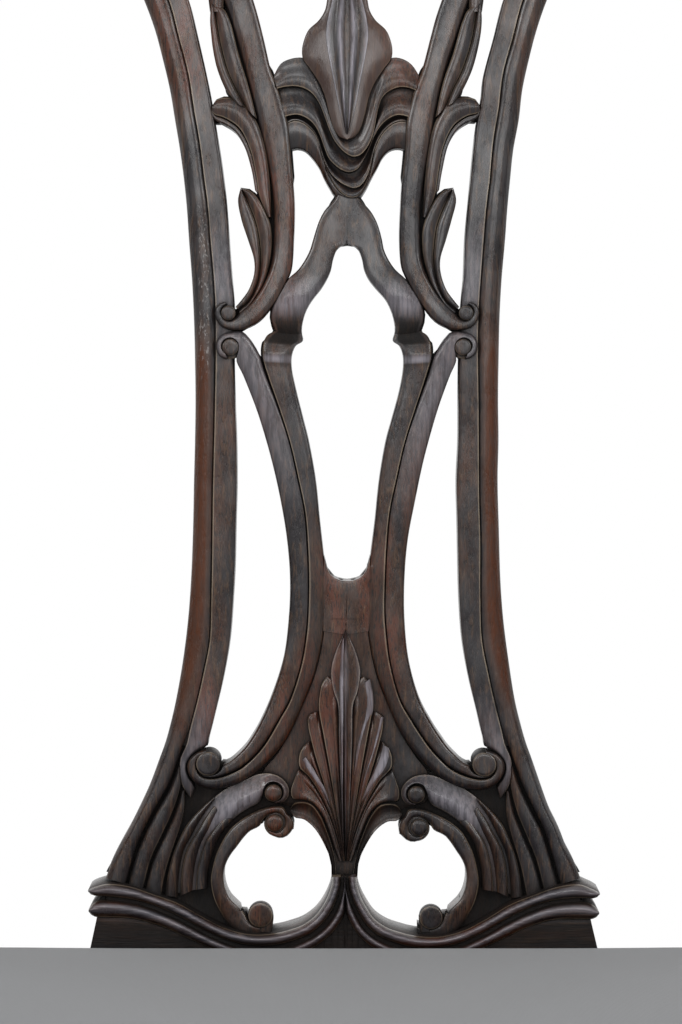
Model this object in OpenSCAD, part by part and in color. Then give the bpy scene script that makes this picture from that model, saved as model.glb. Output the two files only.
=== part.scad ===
/* [Seat] */
// Width across the front legs at the seat rails
seat_front_w = 540; // [480:1:640]
// Width across the back posts at the seat rails
seat_back_w = 420; // [400:1:510]
// Depth from the front rail's face to the back rail's rear face
seat_d = 430; // [360:1:520]
// Height of the top of the seat rails above the floor
seat_h = 440; // [370:1:530]
// Height of a seat rail
rail_h = 68; // [60:1:82]
// Thickness of the front and side rails
rail_t = 27; // [22:1:33]
// Thickness of the back rail, which also carries the shoe
back_rail_t = 44; // [42:1:52]
// Width of the lip that the drop-in seat lies inside
lip_w = 11; // [9:1:13]
// Depth of the rebate that the drop-in seat lies in
rebate_h = 15; // [12:1:18]

/* [Drop-in seat] */
// Thickness of the drop-in seat's wooden frame
slip_t = 20; // [16:1:24]
// Width of the drop-in seat's frame members
slip_w = 58; // [45:1:70]
// Height of the stuffing above the frame at its edge
pad_edge_h = 13; // [10:1:20]
// Rise of the stuffing from its edge to the middle
pad_crown = 15; // [8:1:24]
// Thickness of the woven cover
cover_t = 1.2; // [0.8:0.1:2]
// Width of a webbing strap
web_w = 50; // [40:1:56]
// Thickness of a webbing strap
web_t = 1.5; // [1:0.1:2]
// Gap between the covered seat and the rails round it
seat_gap = 1; // [0.6:0.1:2]

/* [Back] */
// Angle that the back leans from upright
back_rake = 9; // [5:0.5:13]
// Width of the splat's foot across the ends of the mouldings
splat_w = 231; // [190:1:280]
// Height of the splat from the seat line to the crest rail
splat_h = 440; // [360:1:530]
// Thickness of the splat
splat_t = 20; // [16:1:24]
// Height of the crest rail at its middle
crest_h = 92; // [70:1:112]
// Thickness of the crest rail
crest_t = 27; // [24:1:33]
// How far the crest rail's ears stand out past the posts
ear_out = 22; // [14:1:30]

/* [Legs] */
// Side of the square block at the top of a front leg
leg_block = 48; // [44:1:58]
// How far the knee swells beyond the rails
knee_out = 14; // [8:1:20]
// Width of a back post at the seat
post_w = 36; // [32:1:44]
// Width of a back post at the crest rail
post_top_w = 29; // [24:1:35]
// Depth of a back post at the seat
post_d = 34; // [33:1:41]
// How far each post spreads outwards up to the crest rail
post_flare = 22; // [10:1:30]
// How far the rear feet sweep back behind the back rail
foot_sweep = 42; // [20:1:60]

/* [Joints] */
// Thickness of every tenon
tenon_t = 10; // [8:1:10]
// Length of the seat rails' tenons
tenon_l = 17; // [12:1:18]
// Gap all round a tenon in its mortise
fit_gap = 0.15; // [0.1:0.05:0.25]
// Radius of a screw's shank
screw_r = 2.2; // [1.8:0.1:2.7]
// Radius of a dowel
dowel_r = 4; // [3:0.5:5]

/* [Hidden] */

dark_wood = "#4a2f24";
pale_wood = "#b08a5c";
steel = "#9a9a9c";
grey_cloth = "#95969a";
jute = "#a08a60";
hair = "#6e5a48";
black_cloth = "#26262a";

// Overrun of every cut past the face it opens, and of joined shapes into each other
over = 1;
// Straight steps between two points of a smooth curve
curve_steps = 4;
// Sides of every round
round_fn = 64;

// Seat plan: y is 0 at the front rail's face, and the side rails close in towards the posts
post_y = seat_d - post_d;
side_angle = atan((seat_front_w - seat_back_w) / 2 / post_y);
rail_z = seat_h - rail_h;
ledge_z = seat_h - rebate_h;
leg_in_x = seat_front_w / 2 - leg_block;
post_in_x = seat_back_w / 2 - post_w;
back_rail_y = seat_d - back_rail_t;

// The back's own frame: v runs up the slope from the rail top, u runs square through the splat
shoe_back = 3.5;
shoe_front = 3;
back_y = seat_d - (splat_t + shoe_back) * cos(back_rake) - seat_gap;
function raked(u, v) = [
    back_y + u * cos(back_rake) + v * sin(back_rake),
    seat_h - u * sin(back_rake) + v * cos(back_rake)];

// The splat's outlines are measured in a grid of columns from the centre line and rows from the top
splat_w_px = 513;
seat_line_px = 948;
splat_top_px = -30;
px_w = splat_w / splat_w_px;
px_h = splat_h / (seat_line_px - splat_top_px);
// Height of the shoe's foot hidden behind the drop-in seat: the view over the seat's edge falls a little
sight_drop = 5;
shoe_foot_h = slip_t - rebate_h + pad_edge_h - sight_drop;
function row_v(row) = shoe_foot_h + (seat_line_px - row) * px_h;
function on_px(p) = [for (q = p) [q[0] * px_w, row_v(q[1])]];

// Crest rail
crest_v = row_v(splat_top_px);
crest_half = seat_back_w / 2 + post_flare + ear_out;
crest_u0 = (splat_t - crest_t) / 2;
crest_u1 = crest_u0 + crest_t;

// The origin lies on the floor, under the middle of the whole chair
mid_y = (raked(crest_u1, crest_v + crest_h)[0] - knee_out) / 2;

// Tenons and mortises
tenon_in = (rail_t - tenon_t) / 2;
tenon_edge = 8;
tenon_z = rail_z + tenon_edge;
tenon_h = rail_h - rebate_h - tenon_edge - tenon_edge / 2;
back_tenon_wall = 5;
back_tenon_y = seat_d - back_tenon_wall - tenon_t;
post_tenon_w = 17;
post_tenon_h = 22;
post_top_x = seat_back_w / 2 + post_flare - post_top_w / 2;
splat_tenon_u = (splat_t - tenon_t) / 2;
splat_tenon_h = 14;

// Knee blocks, corner blocks and screws
knee_block_w = 66;
knee_block_h = 44;
knee_block_inset = 1;
knee_curve_shares = [[1, 0.16], [0.97, 0.22], [0.8, 0.28], [0.58, 0.36], [0.36, 0.52], [0.2, 0.74],
    [0.12, 1]];
block_leg = 58;
block_h = 32;
block_z = rail_z + tenon_edge;
screw_len = 34;
screw_bite = 14;
screw_head_r = 4.2;
screw_head_h = 2.6;
screw_from_leg = 20;

// Drop-in seat: the covered seat's edges, and the frame inside its cover
seat_y0 = lip_w + seat_gap;
seat_y1 = post_y - seat_gap;
skin_gap = 0.3;
slip_in = lip_w + seat_gap + cover_t + skin_gap;
slip_y0 = slip_in;
slip_y1 = seat_y1 - cover_t - skin_gap;
slip_top = ledge_z + slip_t;
dowel_l = 30;
dowel_shares = [0.28, 0.72];
web_margin = 12;
web_pad_l = 30;
webs_along = 4;
webs_across = 3;
hessian_t = 1;
hessian_z = slip_top + 2 * web_t;
stuffing_z = hessian_z + hessian_t;
cloth_t = 0.6;
under_margin = 2;

// Smooth curves through a few points
function blend_at(a, b, c, d, t) = 0.5 * (2 * b + (c - a) * t
    + (2 * a - 5 * b + 4 * c - d) * t * t + (3 * b - a - 3 * c + d) * t * t * t);
function curve(p, steps = curve_steps) = let (n = len(p)) concat(
    [for (i = [0 : n - 2], s = [0 : steps - 1])
        blend_at(p[max(i - 1, 0)], p[i], p[i + 1], p[min(i + 2, n - 1)], s / steps)], [p[n - 1]]);
function reversed(p) = [for (i = [len(p) - 1 : -1 : 0]) p[i]];
function mirrored(p) = [for (i = [len(p) - 1 : -1 : 0]) [-p[i][0], p[i][1]]];
// A band of even width along a line
function band(p, w) = let (n = len(p),
    side = [for (i = [0 : n - 1]) let (d = p[min(i + 1, n - 1)] - p[max(i - 1, 0)])
        [-d[1], d[0]] * w / 2 / norm(d)])
    concat([for (i = [0 : n - 1]) p[i] + side[i]], [for (i = [n - 1 : -1 : 0]) p[i] - side[i]]);

// Closed surfaces through rings of as many points, each ring counter-clockwise from above
function wall(a, b, n) = [for (i = [0 : n - 1]) let (j = (i + 1) % n) each
    [[a + i, b + i, b + j], [a + i, b + j, a + j]]];
function top_fan(a, tip, n) = [for (i = [0 : n - 1]) [a + (i + 1) % n, a + i, tip]];
function under_fan(a, tip, n) = [for (i = [0 : n - 1]) [a + i, a + (i + 1) % n, tip]];
function flipped(faces) = [for (f = faces) [f[2], f[1], f[0]]];
function middle(ring) = [for (k = [0 : 2]) [for (p = ring) p[k]] * [for (p = ring) 1] / len(ring)];
module lofted(rings) {
    n = len(rings[0]);
    last = len(rings) - 1;
    polyhedron(
        concat([for (r = rings) each r], [middle(rings[0]), middle(rings[last])]),
        concat([for (k = [0 : last - 1]) each wall(k * n, (k + 1) * n, n)],
            under_fan(0, (last + 1) * n, n), top_fan(last * n, (last + 1) * n + 1, n)));
}
// A thin skin between an outer and an inner stack of rings, open underneath
module skin(outer, inner) {
    n = len(outer[0]);
    last = len(outer) - 1;
    in0 = (last + 1) * n;
    tips = 2 * in0;
    polyhedron(
        concat([for (r = outer) each r], [for (r = inner) each r],
            [middle(outer[last]), middle(inner[last])]),
        concat([for (k = [0 : last - 1]) each wall(k * n, (k + 1) * n, n)], top_fan(last * n, tips, n),
            flipped([for (k = [0 : last - 1]) each wall(in0 + k * n, in0 + (k + 1) * n, n)]),
            flipped(top_fan(in0 + last * n, tips + 1, n)), flipped(wall(0, in0, n))));
}

// Placing
module chair(c) translate([0, -mid_y, 0]) color(c) children();
module on_back() translate([0, back_y, seat_h]) rotate([-back_rake, 0, 0]) children();
module slab(y0, y1) translate([0, y1, 0]) rotate([90, 0, 0]) linear_extrude(y1 - y0) children();
module left_side() mirror([1, 0, 0]) children();
module both() { children(); left_side() children(); }
module prism(z0, z1) translate([0, 0, z0]) linear_extrude(z1 - z0) children();

// Seat plan shapes, for the right-hand side where they aren't whole
function half_w(y) = seat_front_w / 2 - y * tan(side_angle);
function side_x(y, inset) = half_w(y) - inset / cos(side_angle);
function strip(y0, y1, in0, in1) = [
    [side_x(y0, in0), y0], [side_x(y1, in0), y1], [side_x(y1, in1), y1], [side_x(y0, in1), y0]];
function seat_plan(y0, y1, inset) = [
    [side_x(y0, inset), y0], [side_x(y1, inset), y1], [-side_x(y1, inset), y1], [-side_x(y0, inset), y0]];
module seat_rebate() prism(ledge_z, seat_h + over) polygon(seat_plan(lip_w, post_y + over, lip_w));

module front_tenon(g) translate([leg_in_x - over, tenon_in - g, tenon_z - g])
    cube([over + tenon_l + g, tenon_t + 2 * g, tenon_h + 2 * g]);
module side_tenon(y0, y1, g) prism(tenon_z - g, tenon_z + tenon_h + g)
    polygon(strip(y0, y1, tenon_in - g, tenon_in + tenon_t + g));
module side_tenon_front(g) side_tenon(leg_block - tenon_l - g, leg_block + over, g);
module side_tenon_back(g) side_tenon(post_y - over, post_y + tenon_l + g, g);
module back_tenon(g) translate([post_in_x - over, back_tenon_y - g, tenon_z - g])
    cube([over + tenon_l + g, tenon_t + 2 * g, tenon_h + 2 * g]);
module post_tenon(g) on_back()
    translate([post_top_x - post_tenon_w / 2 - g, splat_tenon_u - g, crest_v - over])
    cube([post_tenon_w + 2 * g, tenon_t + 2 * g, over + post_tenon_h + g]);

// Screws of the corner blocks: place in plan, then the way each one points
front_screw_y = rail_t + screw_len - screw_bite;
side_screw_x = side_x(leg_block + screw_from_leg, rail_t) - screw_len + screw_bite;
back_screw_x = post_in_x - screw_from_leg;
back_screw_y = back_rail_y - screw_len + screw_bite;
rear_screw_y = back_rail_y - screw_from_leg;
screws = [
    [leg_in_x - screw_from_leg, front_screw_y, [90, 0, 0]],
    [side_screw_x, leg_block + screw_from_leg, [0, 90, 0]],
    [back_screw_x, back_screw_y, [-90, 0, 0]],
    [side_x(rear_screw_y, rail_t) - screw_len + screw_bite, rear_screw_y, [0, 90, 0]]];
module at_screw(s) translate([s[0], s[1], block_z + block_h / 2]) rotate(s[2]) children();
module screw() {
    cylinder(screw_len, screw_r, screw_r, $fn = round_fn);
    cylinder(screw_head_h, screw_head_r, screw_head_r, $fn = round_fn);
}
module screw_hole() {
    cylinder(screw_len + fit_gap, screw_r + fit_gap, screw_r + fit_gap, $fn = round_fn);
    translate([0, 0, -block_leg])
        cylinder(block_leg + screw_head_h, screw_head_r + fit_gap, screw_head_r + fit_gap, $fn = round_fn);
}
module screw_holes() for (s = screws) at_screw(s) screw_hole();

// A front leg: rows of height, knee, outer and inner face, squareness and claw, down the leg
leg_shares = [
    [0, 0, 0.12, 0.86, 2, 0.7], [0.012, 0.1, 0, 0.94, 2, 0.9], [0.03, 0.45, 0, 1.0, 2, 1],
    [0.06, 0.7, 0, 1.05, 2, 1], [0.095, 0.65, 0, 1.04, 2, 1], [0.13, 0.3, 0, 0.97, 2, 1],
    [0.16, 0, 0.12, 0.9, 2, 0.8], [0.195, 0, 0.25, 0.86, 2, 0.5], [0.25, 0, 0.335, 0.85, 2, 0.1],
    [0.32, 0, 0.345, 0.855, 2.1, 0], [0.42, 0, 0.31, 0.83, 2.2, 0], [0.52, 0, 0.24, 0.8, 2.3, 0],
    [0.62, 0, 0.14, 0.79, 2.4, 0], [0.71, 0, 0.03, 0.82, 2.5, 0], [0.79, 0.35, 0, 0.88, 2.7, 0],
    [0.86, 0.85, 0, 0.955, 3, 0], [0.92, 1, 0, 0.985, 3.6, 0], [0.965, 0.6, 0, 0.985, 4.5, 0],
    [1, 0, 0.06, 0.985, 6, 0], [1.01, 0, 0.2, 0.98, 6, 0]];
leg_sides = 28;
claw_share = 0.14;
claw_sharpness = 5;
sole_h = 2;
sole_share = 0.33;
function leg_out(row) = row[2] * leg_block - row[1] * knee_out;
function leg_mid(row) = (leg_out(row) + row[3] * leg_block) / 2;
function leg_half(row) = (row[3] * leg_block - leg_out(row)) / 2;
function power(a, n) = sign(a) * pow(abs(a), n);
function leg_ring(row) = let (m = leg_mid(row), z = max(row[0] * rail_z, sole_h / 2))
    [for (i = [0 : leg_sides - 1]) let (a = 360 * i / leg_sides,
        r = leg_half(row) * (1 + row[5] * claw_share * pow(abs(sin(2 * a)), claw_sharpness)))
        [seat_front_w / 2 - m + r * power(cos(a), 2 / row[4]), m + r * power(sin(a), 2 / row[4]), z]];
foot_mid = leg_mid(leg_shares[0]);

module front_leg() difference() {
    union() {
        prism(rail_z, seat_h) polygon([[leg_in_x, 0], [half_w(0), 0], [half_w(leg_block), leg_block],
            [leg_in_x, leg_block]]);
        lofted([for (row = leg_shares) leg_ring(row)]);
        translate([seat_front_w / 2 - foot_mid, foot_mid, 0])
            cylinder(sole_h, sole_share * leg_block, sole_share * leg_block, $fn = round_fn);
    }
    seat_rebate();
    front_tenon(fit_gap);
    side_tenon_front(fit_gap);
}
module front_leg_right() chair(dark_wood) front_leg();
module front_leg_left() chair(dark_wood) left_side() front_leg();

// A rear leg and its post, one piece: the crossing of a side outline and a front outline
sweep_shares = [[0, 1], [0.12, 0.72], [0.25, 0.46], [0.5, 0.16], [0.75, 0.03], [1, 0]];
flare_shares = [[0, 0], [0.3, 0.03], [0.55, 0.2], [0.8, 0.58], [1, 1]];
post_top_share = 0.72;
post_u1 = splat_t + shoe_back - fit_gap;
post_top_z = raked(0, crest_v)[1];
function leg_line(y) = curve([for (s = sweep_shares) [y + s[1] * foot_sweep, s[0] * rail_z]]);
function post_line(x0, x1) = curve([for (s = flare_shares)
    [x0 + s[1] * (x1 - x0), seat_h + s[0] * (post_top_z - seat_h)]]);
post_side = concat(leg_line(post_y), [[post_y, seat_h]],
    [raked(post_u1 - post_top_share * post_d, crest_v), raked(post_u1, crest_v)],
    [[seat_d, seat_h]], reversed(leg_line(seat_d)));
post_out = seat_back_w / 2;
post_front = concat([[post_in_x, 0]], post_line(post_in_x, post_out + post_flare - post_top_w),
    [[post_out + post_flare - post_top_w, post_top_z + post_d], [post_out + post_flare, post_top_z + post_d]],
    reversed(post_line(post_out, post_out + post_flare)), [[post_out, 0]]);
module rear_leg() difference() {
    union() {
        intersection() {
            translate([post_in_x - over, 0, 0]) rotate([90, 0, 90])
                linear_extrude(post_w + post_flare + 2 * over) polygon(post_side);
            slab(post_y - over, raked(post_u1, crest_v)[0] + over) polygon(post_front);
        }
        post_tenon(0);
    }
    side_tenon_back(fit_gap);
    back_tenon(fit_gap);
}
module rear_leg_right() chair(dark_wood) rear_leg();
module rear_leg_left() chair(dark_wood) left_side() rear_leg();

// Seat rails
module front_rail() chair(dark_wood) difference() {
    union() {
        translate([-leg_in_x, 0, rail_z]) cube([2 * leg_in_x, rail_t, rail_h]);
        both() front_tenon(0);
    }
    seat_rebate();
    both() screw_holes();
}
module side_rail() difference() {
    union() {
        prism(rail_z, seat_h) polygon(strip(leg_block, post_y, 0, rail_t));
        side_tenon_front(0);
        side_tenon_back(0);
    }
    seat_rebate();
    screw_holes();
}
module side_rail_right() chair(dark_wood) side_rail();
module side_rail_left() chair(dark_wood) left_side() side_rail();
module back_rail() chair(dark_wood) difference() {
    union() {
        translate([-post_in_x, back_rail_y, rail_z]) cube([2 * post_in_x, back_rail_t, rail_h]);
        both() back_tenon(0);
    }
    translate([-post_in_x - over, back_rail_y - over, ledge_z])
        cube([2 * (post_in_x + over), post_y - back_rail_y + over, rebate_h + over]);
    both() screw_holes();
    shoe_dowel_set(fit_gap);
}

// Knee blocks: curved brackets under the rails, on each side of a front leg
knee_bracket = concat([[0, 0], [-knee_block_w, 0]],
    curve([for (s = knee_curve_shares) [-s[0] * knee_block_w, -s[1] * knee_block_h]]), [[0, -knee_block_h]]);
module knee_block_front() slab(knee_block_inset, rail_t - knee_block_inset)
    translate([leg_in_x, rail_z]) polygon(knee_bracket);
module knee_block_side() intersection() {
    prism(rail_z - knee_block_h, rail_z)
        polygon(strip(leg_block, leg_block + knee_block_w, knee_block_inset, rail_t - knee_block_inset));
    translate([leg_in_x, leg_block, rail_z]) rotate([90, 0, 90]) linear_extrude(leg_block) mirror([1, 0])
        polygon(knee_bracket);
}
module knee_block_front_right() chair(dark_wood) knee_block_front();
module knee_block_front_left() chair(dark_wood) left_side() knee_block_front();
module knee_block_side_right() chair(dark_wood) knee_block_side();
module knee_block_side_left() chair(dark_wood) left_side() knee_block_side();

// Corner blocks: glued and screwed inside the rails' corners
module corner_block_front() difference() {
    prism(block_z, block_z + block_h) polygon([
        [leg_in_x - block_leg, rail_t], [leg_in_x, rail_t], [leg_in_x, leg_block],
        [side_x(leg_block, rail_t), leg_block],
        [side_x(leg_block + block_leg, rail_t), leg_block + block_leg]]);
    screw_holes();
}
module corner_block_back() difference() {
    prism(block_z, block_z + block_h) polygon([
        [post_in_x - block_leg, back_rail_y], [post_in_x, back_rail_y], [post_in_x, post_y],
        [side_x(post_y, rail_t), post_y],
        [side_x(back_rail_y - block_leg, rail_t), back_rail_y - block_leg]]);
    screw_holes();
}
module corner_block_front_right() chair(pale_wood) corner_block_front();
module corner_block_front_left() chair(pale_wood) left_side() corner_block_front();
module corner_block_back_right() chair(pale_wood) corner_block_back();
module corner_block_back_left() chair(pale_wood) left_side() corner_block_back();
module corner_block_screws() chair(steel) both() for (s = screws) at_screw(s) screw();

// The shoe's top line, which the splat stands on, from its end to the centre
shoe_top_px = [[239, 883], [215, 888], [188, 895], [165, 904], [143, 915], [122, 926], [98, 932],
    [72, 933], [47, 927], [28, 914], [16, 899], [12, 886], [11, 878]];
shoe_end_px = [[252, 948], [247, 918], [245, 900]];
rib_upper_px = [[256, 892], [240, 891], [212, 896], [188, 903], [165, 912], [143, 923], [122, 934], [98, 940],
    [72, 941], [45, 935], [26, 921], [12, 904], [4, 888]];
rib_lower_px = [[256, 911], [240, 909], [212, 912], [188, 919], [165, 928], [143, 939], [122, 949], [98, 956],
    [72, 957], [50, 951], [32, 939], [18, 924], [4, 905]];
rib_w_px = 15;
rib_out = 5;
shoe_drop = 8;
shoe_tenons_px = [[140, 216], [-6, 6]];
shoe_tenon_top_px = [883, 866];
shoe_tenon_foot_px = [seat_line_px, 920];
shoe_dowel_x = splat_w / 4;
shoe_dowel_y = (back_y + seat_d) / 2;
shoe_dowel_l = 18;
module shoe_dowel_set(g) for (x = [-shoe_dowel_x, 0, shoe_dowel_x])
    translate([x, shoe_dowel_y, seat_h - shoe_dowel_l / 2 - g])
        cylinder(shoe_dowel_l + 2 * g, dowel_r + g, dowel_r + g, $fn = round_fn);
module splat_foot_tenons(g) on_back() both() for (k = [0, 1]) let (
    x0 = shoe_tenons_px[k][0] * px_w, x1 = shoe_tenons_px[k][1] * px_w,
    v0 = row_v(shoe_tenon_foot_px[k]), v1 = row_v(shoe_tenon_top_px[k]))
    translate([x0 - g, splat_tenon_u - g, v0 - g]) cube([x1 - x0 + 2 * g, tenon_t + 2 * g, v1 - v0 + 2 * g]);
shoe_half = concat([[shoe_end_px[0][0] * px_w, -shoe_drop]], on_px(shoe_end_px), curve(on_px(shoe_top_px)));
module shoe() chair(dark_wood) difference() {
    on_back() union() {
        slab(-shoe_front, splat_t + shoe_back) polygon(concat(shoe_half, mirrored(shoe_half)));
        both() for (rib = [rib_upper_px, rib_lower_px]) slab(-shoe_front - rib_out, splat_t + shoe_back)
            polygon(band(curve(on_px(rib)), rib_w_px * px_h));
    }
    translate([-splat_w, 0, seat_h - 2 * shoe_drop]) cube([2 * splat_w, 2 * seat_d, 2 * shoe_drop]);
    splat_foot_tenons(fit_gap);
    shoe_dowel_set(fit_gap);
}
module shoe_dowels() chair(pale_wood) shoe_dowel_set(0);

// The splat: its outer edge from the crest rail down, then every opening, right-hand side
splat_edge_px = [[212, -30], [194, 20], [183, 60], [175, 100], [167, 150], [161, 200], [156, 260],
    [152, 320], [151, 390], [151, 460], [153, 520], [156, 600], [162, 660],
    [172, 712], [186, 760], [205, 808], [226, 850], [237, 874], [239, 881]];
gap_beside_leaf_px = [[173, -50], [157, 0], [147, 40], [142, 60], [138, 80], [133, 101], [127, 97], [119, 91],
    [124, 80], [131, 60], [135, 40], [136, 20], [137, 0], [141, -50]];
gap_beside_stem_px = [[110, -50], [94, 0], [88, 20], [83, 40], [78, 60], [75, 72], [66, 66], [58, 60],
    [46, 50], [43, 40], [39, 30], [29, 20], [23, 10], [20, 0], [15, -50]];
gap_under_scroll_px = [[123, 125], [131, 129], [127, 150], [123, 180], [120, 200], [118, 230], [116, 260],
    [114, 285], [112, 306], [105, 300], [99, 290], [94, 275], [94, 257], [98, 240], [105, 220], [109, 203],
    [108, 191], [105, 185], [98, 190], [94, 198], [92, 188], [93, 178], [98, 160], [104, 143], [113, 130]];
gap_under_shell_px = [[56, 153], [53, 180], [51, 205], [51, 230], [53, 252], [58, 278], [49, 270], [38, 250],
    [32, 231], [25, 213], [14, 201], [18, 190], [23, 180], [34, 160], [43, 152]];
keyhole_px = [[0, 244], [10, 249], [15, 260], [21, 280], [28, 290], [36, 300], [42, 310], [45, 320],
    [45, 340], [53, 350], [56, 362], [54, 380], [43, 420], [35, 460], [30, 495], [27, 520],
    [24, 555], [18, 573], [8, 580], [0, 581]];
small_gap_px = [[79, 309], [87, 320], [105, 329], [98, 339], [87, 350], [81, 340], [75, 332],
    [75, 322]];
long_gap_px = [[111, 357], [111, 400], [109, 440], [108, 480], [109, 520], [112, 600], [117, 640], [123, 680],
    [131, 712], [138, 744], [131, 750], [119, 758], [106, 748], [95, 736], [86, 724], [75, 700], [68, 680],
    [60, 640], [57, 600], [59, 560], [67, 500], [76, 460], [94, 400]];
scroll_gap_px = [[46, 816], [62, 822], [84, 825], [97, 832], [108, 844], [116, 858], [119, 874], [117, 887],
    [112, 898], [99, 911], [88, 914], [79, 924], [75, 945], [30, 945], [9, 905], [13, 882], [14, 866],
    [19, 850], [25, 838], [33, 826]];
scroll_discs_px = [[66, 824, 15], [86, 918, 10]];
splat_foot_px = 878;
splat_half = concat(on_px([[0, splat_top_px]]), curve(on_px(splat_edge_px)),
    [for (p = curve(on_px(shoe_top_px))) p + [0, fit_gap]], [[0, row_v(splat_foot_px) + fit_gap]]);
module gaps(points) both() slab(-over, splat_t + over) polygon(on_px(points));
module splat() chair(dark_wood) union() {
    on_back() {
        difference() {
            slab(0, splat_t) polygon(concat(splat_half, mirrored(splat_half)));
            for (g = [gap_beside_leaf_px, gap_beside_stem_px, gap_under_scroll_px, gap_under_shell_px,
                keyhole_px, small_gap_px, long_gap_px, scroll_gap_px]) gaps(g);
            both() slab(-over, splat_t + over)
                polygon(band(curve(on_px(rib_upper_px)), rib_w_px * px_h + 2 * fit_gap));
        }
        both() for (d = scroll_discs_px) translate([d[0] * px_w, 0, row_v(d[1])]) rotate([-90, 0, 0])
            cylinder(splat_t, d[2] * px_h, d[2] * px_h, $fn = round_fn);
    }
    splat_top_tenon(0, 0);
    splat_foot_tenons(0);
}
splat_top_half = splat_edge_px[0][0] * px_w - tenon_edge / 2;
module splat_top_tenon(g, under) on_back() translate([-splat_top_half - g, splat_tenon_u - g, crest_v - under])
    cube([2 * (splat_top_half + g), tenon_t + 2 * g, splat_tenon_h + g + under]);

// The crest rail: a serpentine top with raised ears, and a shallow arch each side of the splat
crest_shares = [[0, 0], [0.43, 0], [0.52, 0.06], [0.61, 0.08], [0.7, 0.05], [0.76, 0]];
crest_ear_shares = [[0.915, 0], [0.93, 0.2], [0.95, 0.45], [0.975, 0.68], [1, 0.84], [1, 0.93], [0.975, 0.985],
    [0.93, 0.96], [0.86, 0.86], [0.76, 0.74], [0.64, 0.69], [0.52, 0.72], [0.4, 0.81], [0.28, 0.92],
    [0.14, 0.985], [0, 1]];
function on_crest(s) = [for (p = s) [p[0] * crest_half, crest_v + p[1] * crest_h]];
crest_outline = concat(on_crest(crest_shares), curve(on_crest(crest_ear_shares)));
module crest_rail() chair(dark_wood) difference() {
    on_back() slab(crest_u0, crest_u1) polygon(concat(crest_outline, mirrored(crest_outline)));
    splat_top_tenon(fit_gap, over);
    both() post_tenon(fit_gap);
}

// Drop-in seat frame: front and back members run through, side members butt against them
frame_joints = [slip_y0 + slip_w, slip_y1 - slip_w];
module frame_dowels(g) for (y = frame_joints, s = dowel_shares)
    translate([side_x(y, slip_in + s * slip_w), y - dowel_l / 2 - g, ledge_z + slip_t / 2]) rotate([-90, 0, 0])
        cylinder(dowel_l + 2 * g, dowel_r + g, dowel_r + g, $fn = round_fn);
module frame_member(y0, y1) difference() {
    prism(ledge_z, slip_top) intersection() {
        polygon(seat_plan(y0, y1, slip_in));
        polygon([for (p = seat_ring(cover_t + skin_gap, 0, 0)) [p[0], p[1]]]);
    }
    both() frame_dowels(fit_gap);
}
module frame_side() difference() {
    prism(ledge_z, slip_top) polygon(strip(frame_joints[0], frame_joints[1], slip_in, slip_in + slip_w));
    frame_dowels(fit_gap);
}
module seat_frame_front() chair(pale_wood) frame_member(slip_y0, frame_joints[0]);
module seat_frame_back() chair(pale_wood) frame_member(frame_joints[1], slip_y1);
module seat_frame_right() chair(pale_wood) frame_side();
module seat_frame_left() chair(pale_wood) left_side() frame_side();
module seat_frame_dowels() chair(pale_wood) both() frame_dowels(0);

// Webbing: straps from side to side on the frame, then straps from front to back over them
web_y0 = slip_y0 + web_margin;
web_y1 = slip_y1 - web_margin;
web_half = side_x(web_y1, slip_in + web_margin);
module webbing_crosswise() chair(jute) intersection() {
    prism(slip_top, slip_top + web_t) polygon(seat_plan(web_y0, web_y1, slip_in + web_margin));
    for (i = [1 : webs_across]) translate([-seat_front_w / 2,
        frame_joints[0] + (frame_joints[1] - frame_joints[0]) * i / (webs_across + 1) - web_w / 2, slip_top])
        cube([seat_front_w, web_w, web_t]);
}
module webbing_lengthwise() chair(jute) for (i = [0 : webs_along - 1])
    translate([-web_half + (2 * web_half - web_w) * i / (webs_along - 1), 0, slip_top]) {
        translate([0, web_y0, web_t]) cube([web_w, web_y1 - web_y0, web_t]);
        for (y = [web_y0, web_y1 - web_pad_l]) translate([0, y, 0]) cube([web_w, web_pad_l, 2 * web_t]);
    }
module hessian() chair(jute) prism(hessian_z, stuffing_z)
    polygon(seat_plan(web_y0, web_y1, slip_in + web_margin));
// The dust cover lies between the rails, cut out round the blocks of the front legs
under_in = rail_t + under_margin;
under_leg_y = leg_block + under_margin;
dust_half = [[leg_in_x - under_margin, under_in], [leg_in_x - under_margin, under_leg_y],
    [side_x(under_leg_y, under_in), under_leg_y],
    [side_x(back_rail_y - under_margin, under_in), back_rail_y - under_margin]];
module dust_cover() chair(black_cloth) prism(ledge_z - cloth_t, ledge_z)
    polygon(concat(dust_half, mirrored(dust_half)));

// The seat's soft form: rings round its edge, drawn in between the corners, then closing over the crown
corner_r = 12;
arc_points = 4;
side_points = 6;
draw_in = 1.6;
pad_top = slip_top + pad_edge_h;
roll_shares = [[0, 0, 0], [0.06, 0.45, 0.5], [0.3, 0.86, 1], [0.7, 0.99, 1]];
roll_w = 12;
crown_shares = [0.86, 0.68, 0.48, 0.28, 0.1];
function corner_arc(c, from, r) = [for (k = [0 : arc_points - 1]) let (a = from + 90 * k / (arc_points - 1))
    c + r * [cos(a), sin(a)]];
function edge_line(a, b, draw) = [for (k = [1 : side_points]) let (t = k / (side_points + 1), d = b - a)
    a + d * t + [-d[1], d[0]] / norm(d) * draw * 4 * t * (1 - t)];
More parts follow.
